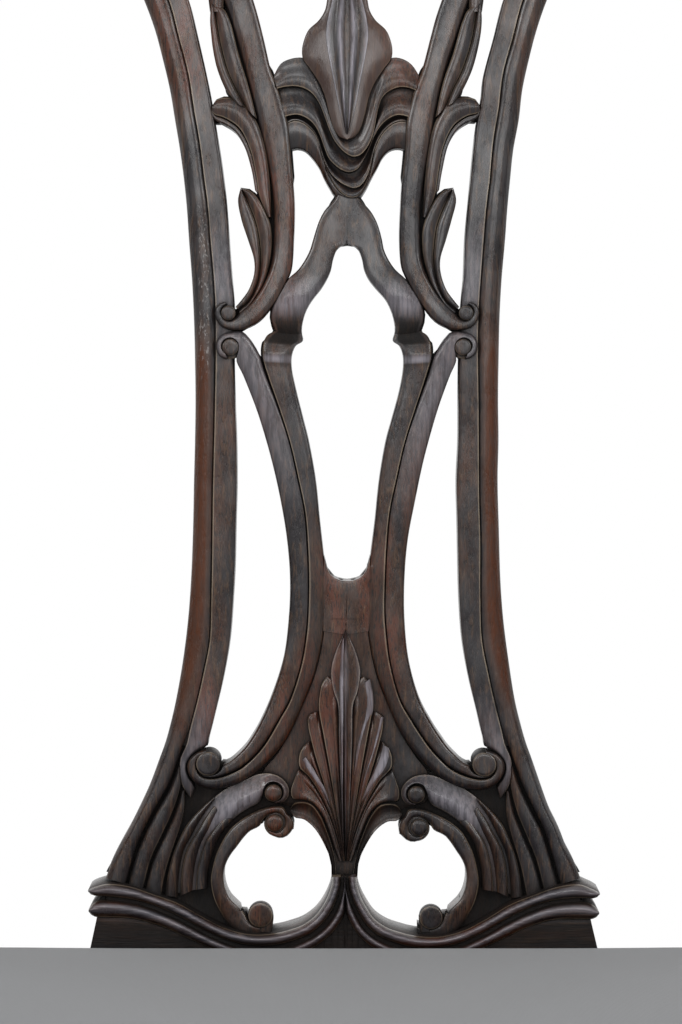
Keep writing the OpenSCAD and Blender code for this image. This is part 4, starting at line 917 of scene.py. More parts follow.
def as_piece(name, shells, body, finish, replaced=(), keep_above=None):
    """Closed shells, as one object that rides on a body and wears a finish."""
    shape = bmesh.new()
    layers = [shape.verts.layers.float.new(key) for key in ("tone", "sheen")]
    for points, faces, tones in shells:
        made = [shape.verts.new(p) for p in points]
        for vert, values in zip(made, np.reshape(tones, (len(points), -1))):
            for layer, value in zip(layers, values):
                vert[layer] = value
        for face in faces:
            shape.faces.new([made[i] for i in face])
    bmesh.ops.remove_doubles(shape, verts=shape.verts, dist=weld_m)
    bmesh.ops.recalc_face_normals(shape, faces=shape.faces)
    if keep_above is not None:
        for vert in shape.verts:
            vert.co.z = max(vert.co.z, keep_above)
    mesh = bpy.data.meshes.new(name)
    shape.to_mesh(mesh)
    shape.free()
    mesh.shade_smooth()
    mesh.set_sharp_from_angle(angle=math.radians(sharp_corner))
    piece = bpy.data.objects.new(name, mesh)
    bpy.context.collection.objects.link(piece)
    mesh.materials.append(finish)
    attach(piece, body)
    if replaced:
        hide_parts(*replaced)
    return piece


def in_place(shells):
    """Shells on the leaning board, taken into the room."""
    return [(in_room(*p.T), faces, tones) for p, faces, tones in shells]


def triangle_count(piece):
    return sum(len(p.vertices) - 2 for p in piece.data.polygons)


def winds_round(outline, places):
    """True for each place that the outline goes round."""
    turns = np.zeros(len(places), int)
    for a, b in zip(outline, np.roll(outline, -1, axis=0)):
        left = (b[0] - a[0]) * (places[:, 1] - a[1]) - (places[:, 0] - a[0]) * (b[1] - a[1])
        turns += (a[1] <= places[:, 1]) & (b[1] > places[:, 1]) & (left > 0)
        turns -= (a[1] > places[:, 1]) & (b[1] <= places[:, 1]) & (left < 0)
    return turns != 0


def board_shell(outlines, front, back):
    """The union of flat outlines, as one solid board between two depths."""
    corners, faces = [], []
    for outline in outlines:
        faces.append(list(range(len(corners), len(corners) + len(outline))))
        corners += [Vector(p) for p in outline]
    flat, _, triangles, _, _, _ = delaunay_2d_cdt(corners, [], faces, 0, weld_mm, True)
    middles = np.array([[sum(flat[i][k] for i in tri) / 3 for k in (0, 1)] for tri in triangles])
    covered = np.zeros(len(triangles), bool)
    for outline in outlines:
        covered |= winds_round(np.array(outline), middles)
    kept = [tuple(tri) for tri, inside in zip(triangles, covered) if inside]
    used = sorted({i for tri in kept for i in tri})
    number = {old: new for new, old in enumerate(used)}
    kept = [tuple(number[i] for i in tri) for tri in kept]
    x, v = (np.array([flat[i][k] for i in used]) for k in (0, 1))
    count = len(used)
    sides = {}
    for tri in kept:
        for i in range(3):
            a, b = tri[i], tri[(i + 1) % 3]
            if (b, a) in sides:
                del sides[b, a]
            else:
                sides[a, b] = True
    points = np.concatenate([in_room(x, front, v), in_room(x, back, v)])
    faces = kept + [tuple(count + i for i in reversed(tri)) for tri in kept]
    faces += [(b, a, count + a, count + b) for a, b in sides]
    # The board's front, the sunk ground, is darkened as stain and painted shade.
    tones = np.concatenate([np.full(count, ground_stain_and_shade), np.zeros(count)])
    return points, faces, tones


for name, shells in carvings.items():
    made = as_piece(name, in_place(shells), "chair_frame", carved_mahogany, ["splat"])
    print(name, "triangles", triangle_count(made))
splat_board = as_piece("splat_board", [board_shell(board_outlines, ground_depth, splat_thick)], "chair_frame",
                       carved_mahogany, ["splat"])
print("board triangles", len(splat_board.data.polygons))

# %% [markdown]
# The shoe is the moulded block on the back rail that the splat stands in. Two round ribs with a groove
# between them sweep down from its ends and up again to a point under the stem. The ribs are strips as
# well, with a painted highlight along their crests, on a plain block darkened with painted shade, whose
# foot is cut level with the rail. Thin dark strips on the block stand for its grooves, with their shade
# painted.

# %% The shoe
shoe_back, shoe_seat = 23.5, 0.44002
rib_top = [(88, 890.3), (92, 887.8), (97, 886), (107, 883.6), (129, 886), (153, 894), (177, 902.5),
           (202, 916.5), (224, 927.5), (249, 934), (275, 933), (291, 929), (302, 925), (314, 916.5),
           (322, 906.5), (328, 895), (331.5, 884), (332, 877)]
groove_top = [(88, 891.5), (91.5, 894.8), (97, 896), (106, 896.5), (134, 900), (155, 906), (180, 917),
              (208, 932), (236, 943), (263, 946), (282, 944), (297, 939.5), (310, 934), (322, 924),
              (331, 912), (337, 899), (340.5, 887), (341, 877)]
groove_foot = [(88.5, 910), (92.5, 903.5), (98, 900), (106, 899.5), (134, 903), (155, 909.5), (180, 920.5),
               (208, 935.5), (236, 946.5), (263, 951), (284, 948), (299, 943), (312, 937), (325, 927),
               (334.5, 914), (340.5, 900), (344, 887), (345, 877)]
rib_foot = [(88.5, 911.5), (92, 915.5), (98, 917.3), (106, 917.5), (134, 919), (162, 927), (189, 939),
            (212, 949), (240, 960), (266, 964), (290, 960), (308, 951), (322, 942), (334, 931), (341, 921),
            (345.3, 912), (345.5, 900), (345.6, 877)]
rib_how = dict(floor=shoe_back, through=shoe_back, gap=4, wear=0.8, power=1.9, board=False, open_b=False)
# The ribs' sheen is a painted highlight along their crests.
carve_pair("shoe", rib_top, groove_top, top=-6.8, edge=-2.6, edge_b=-4.2, crown=0.5, sheen=0.42,
           sheen_wide=0.6, **rib_how)
carve_pair("shoe", groove_foot, rib_foot, top=-6.4, edge=-2.4, crown=0.45, sheen=0.42, sheen_wide=0.6,
           **rib_how)
# The strip behind the ribs shows in their groove, darkened with painted shade.
carve_pair("shoe", moved(rib_top[3:], 0, 4), moved(rib_foot[3:], 0, -2), top=-2.4, edge=-2.4, inset=1.5,
           shade=-0.8, floor=shoe_back, through=shoe_back, gap=6, wear=-0.8, board=False)
block_top = [(98, 912), (106, 914), (134, 915), (162, 922), (189, 934), (212, 944), (240, 954), (266, 958),
             (290, 954), (308, 945), (322, 936), (334, 925), (346, 905)]
block_foot = [(85, 977), (96, 977), (130, 977), (160, 977), (190, 977), (215, 977), (240, 977), (266, 977),
              (290, 977), (308, 977), (322, 977), (334, 977), (346, 977)]
# The block is darkened with painted shade.
carve_pair("shoe", block_top, block_foot, top=-1.2, edge=-1.0, power=4, gap=7, floor=shoe_back,
           through=shoe_back, match=[(i, i) for i in range(1, 12)], wear=0.0, shade=-0.8, board=False)
# Thin dark strips stand for grooves on the block, their shade painted.
for x, y in ((324.5, 941), (331.5, 934), (338, 925), (343.3, 917)):
    carve_pair("shoe", [(x, y), (x - 0.4, 962)], [(x + 1.1, y - 1), (x + 0.8, 962)], top=-1.5, edge=-1.4,
               shade=-1, wear=-1, floor=shoe_back, through=shoe_back, gap=6, board=False)
shoe_shells = [shell for side in ("left", "right") for shell in in_place(carvings.pop("shoe_" + side))]
as_piece("shoe_carved", shoe_shells, "chair_frame", crosswise_mahogany, ["shoe"],
         keep_above=shoe_seat)

# %% [markdown]
# The crest rail is out of the picture, so it follows the usual pattern of such chairs: a serpentine board
# with scrolled ears, a bead along its edges, a small shell in the middle and a spray of leaves at each
# side. It could be sculpted, but here the relief is a height worked out over a fine grid, where each leaf
# is one line of numbers.

# %% Relief from leaves
leaf_lean, leaf_round, leaf_dome, vein_deep, vein_wide, leaf_root = 1.3, 0.6, 0.45, 0.35, 0.22, 0.55
relief_gain, relief_stain_and_shade, relief_wear = 2.4, -0.9, 0.35


def leaf_height(x, v, root, tip, half_wide, high):
    """How high one rounded leaf stands over the places x, v."""
    axis = np.array(tip, float) - root
    length = np.linalg.norm(axis)
    axis /= length
    t = ((x - root[0]) * axis[0] + (v - root[1]) * axis[1]) / length
    off = (v - root[1]) * axis[0] - (x - root[0]) * axis[1]
    half = half_wide * np.sin(math.pi * np.clip(t, 0.01, 0.99) ** leaf_lean) ** leaf_round + 0.01
    dome = np.clip(1 - (off / half) ** 2, 0, 1) ** leaf_dome
    vein = vein_deep * np.clip(1 - np.abs(off) / (vein_wide * half_wide), 0, 1)
    return np.where((t > 0) & (t < 1), high * (leaf_root + (1 - leaf_root) * t) * (dome - vein * (dome > 0)),
                    0.0)


def stain_shade_and_wear(relief, rows):
    """Dark where a relief falls away steeply, as stain and painted shade, worn where it stands highest."""
    grid = relief.reshape(rows, -1)
    around = (np.roll(grid, 1, 0) + np.roll(grid, -1, 0) + np.roll(grid, 1, 1) + np.roll(grid, -1, 1)) / 4
    return np.clip((grid - around) * relief_gain, relief_stain_and_shade, relief_wear).ravel()


crest_v, crest_h, crest_half, crest_front, crest_back = 453.0, 92.0, 254.0, -3.5, 23.5
under_shares = [(0, 0), (0.43, 0), (0.52, 0.06), (0.61, 0.08), (0.7, 0.05), (0.76, 0), (0.915, 0),
                (0.93, 0.2), (0.95, 0.45), (0.975, 0.68), (1, 0.84)]
over_shares = [(0, 1), (0.14, 0.985), (0.28, 0.92), (0.4, 0.81), (0.52, 0.72), (0.64, 0.69), (0.76, 0.74),
               (0.86, 0.86), (0.93, 0.96), (0.975, 0.985), (1, 0.93)]
ear_x, ear_v, ear_radius, ear_pitch, ear_high, ear_sunk = 236, 516, 16, 6.5, 2.4, 0.6
crest_sunk, crest_rim, crest_slope, crest_bead, crest_drop = 1.6, 6, 2.5, 5, 3.2
shell_root = (0, 466)
crest_leaves = [(shell_root, (46 * math.sin(a), 466 + (60 - 10 * abs(a)) * math.cos(a)), 6.2, 3.6)
                for a in np.radians([-78, -58, -39, -19, 0, 19, 39, 58, 78])]
for side in (-1, 1):
    crest_leaves += [((side * a, b), (side * c, d), e, f) for a, b, c, d, e, f in [
        (30, 466, 82, 508, 7, 3.0), (34, 464, 92, 492, 7, 3.2), (36, 462, 88, 474, 6, 2.6),
        (76, 484, 132, 500, 6.5, 2.6), (80, 480, 136, 486, 6.5, 2.8), (84, 474, 126, 470, 5, 2.4),
        (124, 487, 178, 496, 5.5, 2.4), (128, 482, 184, 486, 5.5, 2.6), (176, 490, 220, 506, 5, 2.2)]]


def carved_crest(columns=281, rows=45):
    x = np.linspace(-crest_half, crest_half, columns)
    edges = [np.interp(np.abs(x) / crest_half, *zip(*shares)) * crest_h + crest_v
             for shares in (under_shares, over_shares)]
    s = np.linspace(0, 1, rows)[None]
    v = edges[0][:, None] * (1 - s) + edges[1][:, None] * s
    across = np.broadcast_to(x[:, None], v.shape)
    rim = np.minimum(np.minimum(s, 1 - s) * (edges[1] - edges[0])[:, None], crest_half - np.abs(across))
    sunk = -crest_sunk * np.clip((rim - crest_rim) / crest_slope, 0, 1)
    leaves = np.max([leaf_height(across, v, *leaf) for leaf in crest_leaves], 0)
    leaves *= np.clip((rim - 4) / 4, 0, 1)
    reach = np.hypot(np.abs(across) - ear_x, v - ear_v)
    turn = np.arctan2(v - ear_v, np.abs(across) - ear_x)
    waves = 0.6 + 0.4 * np.cos(2 * math.pi * reach / ear_pitch - turn)
    scroll = ear_high * np.clip(1 - (reach / ear_radius) ** 6, 0, 1) * waves
    relief = np.maximum(sunk + leaves, np.where(reach < ear_radius, scroll - ear_sunk, -9))
    front = crest_front - relief + crest_drop * (1 - np.clip(rim / crest_bead, 0, 1)) ** 2
    back = crest_back - 2.0 * (1 - np.clip(rim / 4, 0, 1)) ** 2
    points = np.concatenate([in_room(across, u, v).reshape(-1, 3) for u in (front, back)])
    half = columns * rows
    faces = []
    for quad in sheet_faces(columns, rows):
        faces += [quad, tuple(half + k for k in reversed(quad))]
    ring = list(range(rows)) + [(i + 1) * rows - 1 for i in range(1, columns)]
    ring += [(columns - 1) * rows + j for j in range(rows - 2, -1, -1)]
    ring += [i * rows for i in range(columns - 2, 0, -1)]
    faces += [(a, b, b + half, a + half) for a, b in zip(ring, ring[1:] + ring[:1])]
    tones = np.concatenate([stain_shade_and_wear(relief, columns), np.zeros(half)])
    return points, faces, tones


crest = as_piece("crest_carved", [carved_crest()], "chair_frame", crosswise_mahogany,
                 ["crest_rail"])
print("crest triangles", triangle_count(crest))

# %% [markdown]
# The front legs are cabriole legs, also out of the picture: a square top that takes the rail tenons, a
# carved knee, a slim ankle, and a claw that holds a ball. The curve is a stack of rings, each with its
# height, how far it stands out, how square it is and how much claw it has. The joinery at the top is kept
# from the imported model.

# %% Front legs
leg_block, knee_out, leg_top_z, claw_share = 48.0, 14.0, 372.0, 0.2
seat_front_half, seat_front_y = 270.0, 250.128
leg_rows = [
    (0, 0, 0.12, 0.86, 2, 0.7), (0.012, 0.1, 0, 0.94, 2, 0.9), (0.03, 0.45, 0, 1.0, 2, 1),
    (0.06, 0.7, 0, 1.05, 2, 1), (0.095, 0.65, 0, 1.04, 2, 1), (0.13, 0.3, 0, 0.97, 2, 1),
    (0.16, 0, 0.12, 0.9, 2, 0.8), (0.195, 0, 0.25, 0.86, 2, 0.5), (0.25, 0, 0.335, 0.85, 2, 0.1),
    (0.32, 0, 0.345, 0.855, 2.1, 0), (0.42, 0, 0.31, 0.83, 2.2, 0), (0.52, 0, 0.24, 0.8, 2.3, 0),
    (0.62, 0, 0.14, 0.79, 2.4, 0), (0.71, 0, 0.03, 0.82, 2.5, 0), (0.79, 0.35, 0, 0.88, 2.7, 0),
    (0.86, 0.85, 0, 0.955, 3, 0), (0.92, 1, 0, 0.985, 3.6, 0), (0.965, 0.6, 0, 0.985, 4.5, 0),
    (1, 0, 0.06, 0.985, 6, 0)]
knuckle_mm, sole_z = 19, 0.4
leaf_foot_z, leaf_foot_fade, leaf_head_z, leaf_head_fade, grip_tone = 220, 20, 368, 8, 40
knee_leaves = [((0, 362), (0, 226), 9, 2.6)]
for side in (-1, 1):
    knee_leaves += [((side * a, b), (side * c, d), e, f) for a, b, c, d, e, f in [
        (4, 362, 33, 322, 7, 2.4), (4, 346, 29, 294, 6.5, 2.4), (4, 324, 23, 268, 6, 2.2),
        (3, 300, 16, 244, 5, 2.0)]]


def cabriole(side, sides=72):
    """One leg from the floor to the rails, as a stack of rings."""
    rows = smooth_line(leg_rows)
    share, knee, outer, inner, square, claw = (rows[:, k][:, None] for k in range(6))
    outer = outer * leg_block - knee * knee_out
    middle, half = (outer + inner * leg_block) / 2, (inner * leg_block - outer) / 2
    z = np.maximum(share * leg_top_z, sole_z)
    a = np.arange(sides)[None] / sides * 2 * math.pi
    c, s = (np.sign(w) * np.abs(w) ** (2 / square) for w in (np.cos(a), np.sin(a)))
    ridge = np.abs(np.sin(2 * a))
    knuckles = 0.75 + 0.25 * np.cos(z / knuckle_mm * 2 * math.pi)
    grip = claw * claw_share * (ridge ** 6 * knuckles - 0.12 * (1 - ridge ** 2))
    around = (a + math.pi / 4 + math.pi) % (2 * math.pi) - math.pi
    leaves = np.max([leaf_height(around * half, z + 0 * a, *leaf) for leaf in knee_leaves], 0)
    leaf_foot = np.clip((z - leaf_foot_z) / leaf_foot_fade, 0, 1)
    leaf_head = np.clip((leaf_head_z - z) / leaf_head_fade, 0, 1)
    leaves *= leaf_foot * leaf_head
    r = half * (1 + grip) + leaves
    x, y = seat_front_half - middle + r * c, middle + r * s - seat_front_y
    points = np.stack([side * x, y, z + 0 * a], -1).reshape(-1, 3) * 0.001
    tones = stain_shade_and_wear(leaves + grip_tone * np.maximum(grip, 0), len(rows))
    return points, tube_faces(len(rows), sides), tones


def joinery_above(node, cut):
    """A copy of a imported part's shape above the height cut."""
    shape = bmesh.new()
    shape.from_mesh(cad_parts[node].data)
    bmesh.ops.remove_doubles(shape, verts=shape.verts, dist=0.00001)
    bmesh.ops.bisect_plane(shape, geom=shape.verts[:] + shape.edges[:] + shape.faces[:], plane_co=(0, 0, cut),
                           plane_no=(0, 0, 1), clear_inner=True)
    bmesh.ops.holes_fill(shape, edges=[e for e in shape.edges if e.is_boundary], sides=0)
    shape.verts.index_update()
    points = np.array([v.co for v in shape.verts])
    faces = [tuple(v.index for v in f.verts) for f in shape.faces]
    shape.free()
    return points, faces, np.zeros(len(points))


for name, side in (("front_leg_left", -1), ("front_leg_right", 1)):
    leg = as_piece(name + "_carved", [cabriole(side), joinery_above(name, 0.37205)], "chair_frame",
                   carved_upright, [name])
    print(name, "triangles", triangle_count(leg))

# %% [markdown]
# The hidden blocks, the seat frame and the dowels are plain beech, a pale wood with short dark flecks. The
# screws are steel with fine scratches and a little dirt. Both are made of noise at the real size of the
# flecks and scratches, as nothing of them is carved.

# %% Beech and steel
def pale_beech(name, grain):
    wood = Finish(name)
    along = {"x": (0.06, 1, 1), "y": (1, 0.06, 1), "z": (1, 1, 0.06)}[grain]
    figure = wood.noise(tuple(90 * a for a in along), detail=4.0)
    flecks = wood.noise(tuple(1300 * a for a in along), detail=2.0)
    age = wood.noise((13, 13, 13), detail=2.0)
    colour = wood.blend(wood.between(figure, 0.35, 0.65), linear(203, 168, 126), linear(184, 144, 100))
    colour = wood.blend(wood.between(flecks, 0.58, 0.68) * 0.6, colour, linear(142, 102, 66))
    colour = wood.blend(wood.between(age, 0.4, 0.7) * 0.35, colour, linear(160, 124, 84))
    return wood.done(Base_Color=colour, Roughness=0.5 + 0.2 * figure,
                     Normal=wood.relief(flecks * -0.6 + figure, 0.0002))


def worn_steel():
    steel = Finish("screw_steel")
    scratches = steel.noise((2600, 300, 900), detail=2.0)
    dirt = steel.noise((300, 300, 300), detail=3.0)
    colour = steel.blend(steel.between(dirt, 0.45, 0.7) * 0.7, linear(176, 174, 170), linear(92, 84, 76))
    return steel.done(Base_Color=colour, Metallic=1.0, Roughness=0.28 + 0.3 * dirt,
                      Normal=steel.relief(scratches, 0.00003))


# %% [markdown]
# The rails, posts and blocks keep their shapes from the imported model, because they are plain boards. Old
# edges are never quite sharp, so each gets a small rounding that catches the light. A modifier adds it and
# leaves the mesh underneath as it is.

# %% Rails, posts and blocks
def dress(node, finish, round_mm=0.8):
    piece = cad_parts[node]
    piece.data.materials.clear()
    piece.data.materials.append(finish)
    if round_mm:
        soft = piece.modifiers.new("worn edges", "BEVEL")
        soft.width, soft.segments = round_mm * 0.001, 2
        soft.limit_method, soft.angle_limit = "ANGLE", math.radians(35)
        soft.harden_normals = False


beech_x, beech_y, beech_z = (pale_beech("beech_" + grain, grain) for grain in "xyz")
steel = worn_steel()
dressing = {
    "front_rail": (rail_mahogany, 0.8), "back_rail": (rail_mahogany, 0.8), "side_rail": (side_mahogany, 0.8),
    "rear_leg": (upright_mahogany, 0.8), "knee_block": (rail_mahogany, 0.8),
    "corner_block_front": (beech_x, 0.6), "corner_block_back": (beech_x, 0.6),
    "corner_block_screws": (steel, 0.0), "shoe_dowels": (beech_z, 0.0), "seat_frame_front": (beech_x, 0.8),
    "seat_frame_back": (beech_x, 0.8), "seat_frame_left": (beech_y, 0.8), "seat_frame_right": (beech_y, 0.8),
    "seat_frame_dowels": (beech_y, 0.0)}
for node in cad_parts:
    for start, (finish, round_mm) in dressing.items():
        if node.startswith(start):
            dress(node, finish, round_mm)
print("dressed", sum(any(n.startswith(k) for k in dressing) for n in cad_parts), "of",
      len(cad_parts))

# %% [markdown]
# The drop-in seat is a small piece of upholstery on its own frame: jute straps woven over and under one
# another, a coarse cloth over them, the stuffing, the grey cover pulled tight over it, and a black cloth
# underneath. All the cloths share one weave, which is two crossed waves as wide as the real threads.

# %% Cloths
def woven(name, thread_mm, light, dark, gap_colour=None, rough=0.85, bump_mm=0.1, sheen=0.0):
    cloth = Finish(name)
    scale = 2 * math.pi / 20 / (thread_mm * 0.001)
    waves = [cloth.node("ShaderNodeTexWave", {"bands_direction": way},
                        {"Vector": cloth.place(), "Scale": scale, "Distortion": 0.9, "Detail": 1.0})
             for way in "XY"]
    fuzz = cloth.noise(size=1.6 * scale, detail=3.0)
    broad = cloth.noise(size=14.0, detail=2.0)
    weave = waves[0] * 0.5 + waves[1] * 0.5
    colour = cloth.blend((weave * 0.55 + fuzz * 0.45).clamped(), dark, light)
    colour = cloth.blend(cloth.between(broad, 0.3, 0.7) * 0.15, colour, dark)
    if gap_colour is not None:
        colour = cloth.blend(1 - cloth.between(weave, 0.10, 0.28), colour, gap_colour)
    return cloth.done(Base_Color=colour, Roughness=rough + 0.1 * fuzz,
                      Normal=cloth.relief(weave + fuzz * 0.6, bump_mm * 0.001), Sheen_Weight=sheen,
                      Sheen_Roughness=0.5)


grey_fabric = woven("grey_fabric", 0.5, linear(157, 158, 160), linear(144, 145, 147), bump_mm=0.12,
                    sheen=0.15)
jute = woven("jute_webbing", 1.7, linear(196, 170, 124), linear(150, 122, 82), bump_mm=0.3)
sacking = woven("hessian", 1.9, linear(182, 154, 110), linear(140, 112, 74), linear(60, 44, 28), bump_mm=0.35)
black_cloth = woven("black_cloth", 0.9, linear(34, 34, 36), linear(20, 20, 22), bump_mm=0.08)
felt = Finish("stuffing_felt")
wool = felt.noise(size=420.0, detail=5.0, rough=0.7)
felt_colour = felt.blend(felt.between(wool, 0.3, 0.7), linear(196, 186, 166), linear(226, 220, 206))
cotton = felt.done(Base_Color=felt_colour, Roughness=0.9, Normal=felt.relief(wool, 0.0012))
print("finishes in all:", len(bpy.data.materials))


# %% [markdown]
# Cloth like this is flat or nearly so, and a simulation would add little. Each strap is a sheet that rises
# and falls where it crosses the others, and the two flat cloths are cut to the outlines of their packed
# parts.

# %% Straps, sacking and the cloth underneath
def seat_piece(name, points, faces, finish, replaced, thick_mm=0.0):
    piece = as_piece(name, [(np.array(points), faces, np.zeros(len(points)))], "drop_in_seat", finish,
                     [replaced])
    if thick_mm:
        solid = piece.modifiers.new("thickness", "SOLIDIFY")
        solid.thickness, solid.offset = thick_mm * 0.001, 0.0
    return piece


def strap_cloth(across, along, height):
    """A sheet over two lists of millimetres; height gives its z at each place."""
    x, y = np.meshgrid(across, along, indexing="ij")
    return np.stack([x, y, height(x, y)], -1).reshape(-1, 3) * 0.001, sheet_faces(len(across), len(along))


def packed_points(node):
    """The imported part's points in millimetres."""
    return np.array([v.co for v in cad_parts[node].data.vertices]) * 1000


def half_widths(node, rows):
    """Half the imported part's width in millimetres at each of the places in y."""
    ends = packed_points(node)[np.array([e.vertices[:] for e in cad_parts[node].data.edges])]
    a, b = ends[:, 0], ends[:, 1]
    found = []
    for y in rows:
        hit = (a[:, 1] - y) * (b[:, 1] - y) <= 0
        run = b[hit, 1] - a[hit, 1]
        share = (y - a[hit, 1]) / np.where(np.abs(run) < 1e-9, 1, run)
        found.append(np.abs(a[hit, 0] + share * (b[hit, 0] - a[hit, 0])).max())
    return np.array(found)


strap_wide, low_z, high_z, strap_thick, strap_clear = 50.0, 445.75, 447.25, 1.2, 1.5
strap_gap, corner_step, edge_step, cloth_columns, cloth_rows = 8, 0.06, 0.02, 61, 49
strap_boxes = {}
for node in ("webbing_crosswise", "webbing_lengthwise"):
    places = packed_points(node)
    k = 1 if node.endswith("crosswise") else 0
    order = np.sort(places[:, k])
    starts = ([order[0]] + [b for a, b in zip(order, order[1:]) if b - a > strap_gap])[::2]
    groups = []
    for begin in starts:
        here = places[(places[:, k] >= begin - 0.1) & (places[:, k] <= begin + strap_wide + 0.5)]
        groups.append((here.min(0), here.max(0)))
    strap_boxes[node] = groups
cross_mid = [(lo[1] + hi[1]) / 2 for lo, hi in strap_boxes["webbing_crosswise"]]
long_mid = [(lo[0] + hi[0]) / 2 for lo, hi in strap_boxes["webbing_lengthwise"]]
print("straps across", [round(c) for c in cross_mid], "and lengthwise", [round(c) for c in long_mid])


def over_under(place, crossings, first_up):
    """1 where a strap runs over the strap that it crosses, 0 under it, with smooth changes between."""
    levels = [float((i + first_up) % 2) for i in range(len(crossings))]
    steps = []
    for middle, level in zip(crossings, levels):
        steps += [(middle - strap_wide / 2 - strap_clear, level),
                  (middle + strap_wide / 2 + strap_clear, level)]
    raw = np.interp(place, *zip(*steps))
    return raw * raw * (3 - 2 * raw)


for i, (lo, hi) in enumerate(strap_boxes["webbing_crosswise"]):
    along = np.linspace(lo[0], hi[0], 181)
    middle, half = (lo[1] + hi[1]) / 2, (hi[1] - lo[1]) / 2
    points, faces = strap_cloth(along, np.linspace(middle - half, middle + half, 9),
                                lambda x, y: low_z + (high_z - low_z) * over_under(x, long_mid, i % 2))
    strap = seat_piece(f"webbing_across_{i + 1}", points, faces, jute, "webbing_crosswise",
                       strap_thick)
    round((hi[0] - lo[0]) * 0.001, 3)
for i, (lo, hi) in enumerate(strap_boxes["webbing_lengthwise"]):
    along = np.linspace(lo[1], hi[1], 141)
    middle, half = (lo[0] + hi[0]) / 2, (hi[0] - lo[0]) / 2
    points, faces = strap_cloth(np.linspace(middle - half, middle + half, 9), along,
                                lambda x, y: high_z - (high_z - low_z) * over_under(y, cross_mid, i % 2))
    strap = seat_piece(f"webbing_along_{i + 1}", points, faces, jute, "webbing_lengthwise",
                       strap_thick)
    round((hi[1] - lo[1]) * 0.001, 3)


def flat_cloth(name, node, z, finish, thick_mm, wave_mm):
    """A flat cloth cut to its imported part's outline."""
    places = packed_points(node)
    lo, hi = places.min(0), places.max(0)
    turns = np.unique(np.round(places[:, 1], 1))
    rows = np.concatenate([np.linspace(lo[1], hi[1], cloth_rows), turns - corner_step, turns + corner_step])
    rows = np.unique(np.clip(rows, lo[1] + edge_step, hi[1] - edge_step))
    halves = half_widths(node, rows)
    s, y = np.meshgrid(np.linspace(-1, 1, cloth_columns), rows, indexing="ij")
    x = s * halves
    height = z + wave_mm * np.sin(x / 31) * np.sin(y / 27)
    points = np.stack([x, y, height], -1).reshape(-1, 3) * 0.001
    cloth = seat_piece(name, points, sheet_faces(cloth_columns, len(rows)), finish, node, thick_mm)


flat_cloth("hessian_cloth", "hessian", 448.5, sacking, 0.7,
           0.08)
flat_cloth("dust_cloth", "dust_cover", 424.7, black_cloth, 0.4, 0.05)

# %% [markdown]
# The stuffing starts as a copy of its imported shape. It is remeshed into even faces and blown up a little as
# cloth, which gives the pillowed top of a real pad. No point may move further than swell_most, so it stays
# in its place.

# %% Stuffing
pad_voxel, swell_most = 0.006, 0.0012


def plumped(piece, voxel, cap, pressure=4.0, frames=20):
    even = piece.modifiers.new("even faces", "REMESH")
    even.mode, even.voxel_size = "VOXEL", voxel
    piece.data = bpy.data.meshes.new_from_object(piece.evaluated_get(bpy.context.evaluated_depsgraph_get()))
    piece.modifiers.clear()
    before = np.array([v.co for v in piece.data.vertices])
    cloth = piece.modifiers.new("air", "CLOTH")
    cloth.settings.use_pressure, cloth.settings.uniform_pressure_force = True, pressure
    cloth.settings.effector_weights.gravity = 0
    for step in range(1, frames + 1):
        bpy.context.scene.frame_set(step)
    after = np.array([v.co for v in piece.evaluated_get(bpy.context.evaluated_depsgraph_get()).data.vertices])
    piece.modifiers.clear()
    bpy.context.scene.frame_set(1)
    move = after - before
    far_off = np.linalg.norm(move, axis=1, keepdims=True) + 1e-9
    settled = before + move * np.minimum(1, cap / far_off)
    low, high = before.min(0), before.max(0)
    settled = np.clip(settled, low, [high[0], high[1], high[2] + cap])
    piece.data.vertices.foreach_set("co", settled.ravel())
    print(piece.name, "swelled by up to", round(float(np.minimum(far_off, cap).max()) * 1000, 1), "mm")


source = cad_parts["seat_stuffing"].data
points = np.array([v.co for v in source.vertices])
stuffing = seat_piece("stuffing_pad", points, [tuple(f.vertices) for f in source.polygons], cotton,
                      "seat_stuffing")
plumped(stuffing, pad_voxel, swell_most)
stuffing.data.shade_smooth()
rounder = stuffing.modifiers.new("rounder", "SUBSURF")
rounder.levels = rounder.render_levels = 1

# %% [markdown]
# The cover is one grey cloth, pulled tight over the pad and down the sides of the seat frame. A simulation
# could drape it, but it would have to be held tight all round. So it is laid out point by point: rays from
# above find the pad, and the sides come straight down to the foot of the seat frame, with a small folded
# pleat at each corner.

# %% Seat cover
def packed_tree(data):
    return BVHTree.FromPolygons([v.co[:] for v in data.vertices], [tuple(p.vertices) for p in data.polygons])


cover_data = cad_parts["seat_cover"].data
cover_tree, pad_tree = packed_tree(cover_data), packed_tree(stuffing.data)
seat_middle, foot_z, cloth_thick, spokes = Vector((0, -0.0466, 0)), 0.4256, 0.001, 320
ray_start, ray_z, side_start, rim_share = 0.6, 0.44, 0.004, 0.988
pleat_out, pleat_wide, pleat_from = 0.0007, 0.016, 0.25
seat_outline = []
for k in range(spokes):
    way = Vector((math.cos(2 * math.pi * k / spokes), math.sin(2 * math.pi * k / spokes), 0))
    hit = cover_tree.ray_cast(seat_middle + way * ray_start + Vector((0, 0, ray_z)), -way)[0]
    seat_outline.append([hit.x, hit.y])
seat_outline = np.array(seat_outline)
corners = seat_outline[[np.argmax(seat_outline @ np.array(d)) for d in ((1, -1), (1, 1), (-1, 1), (-1, -1))]]


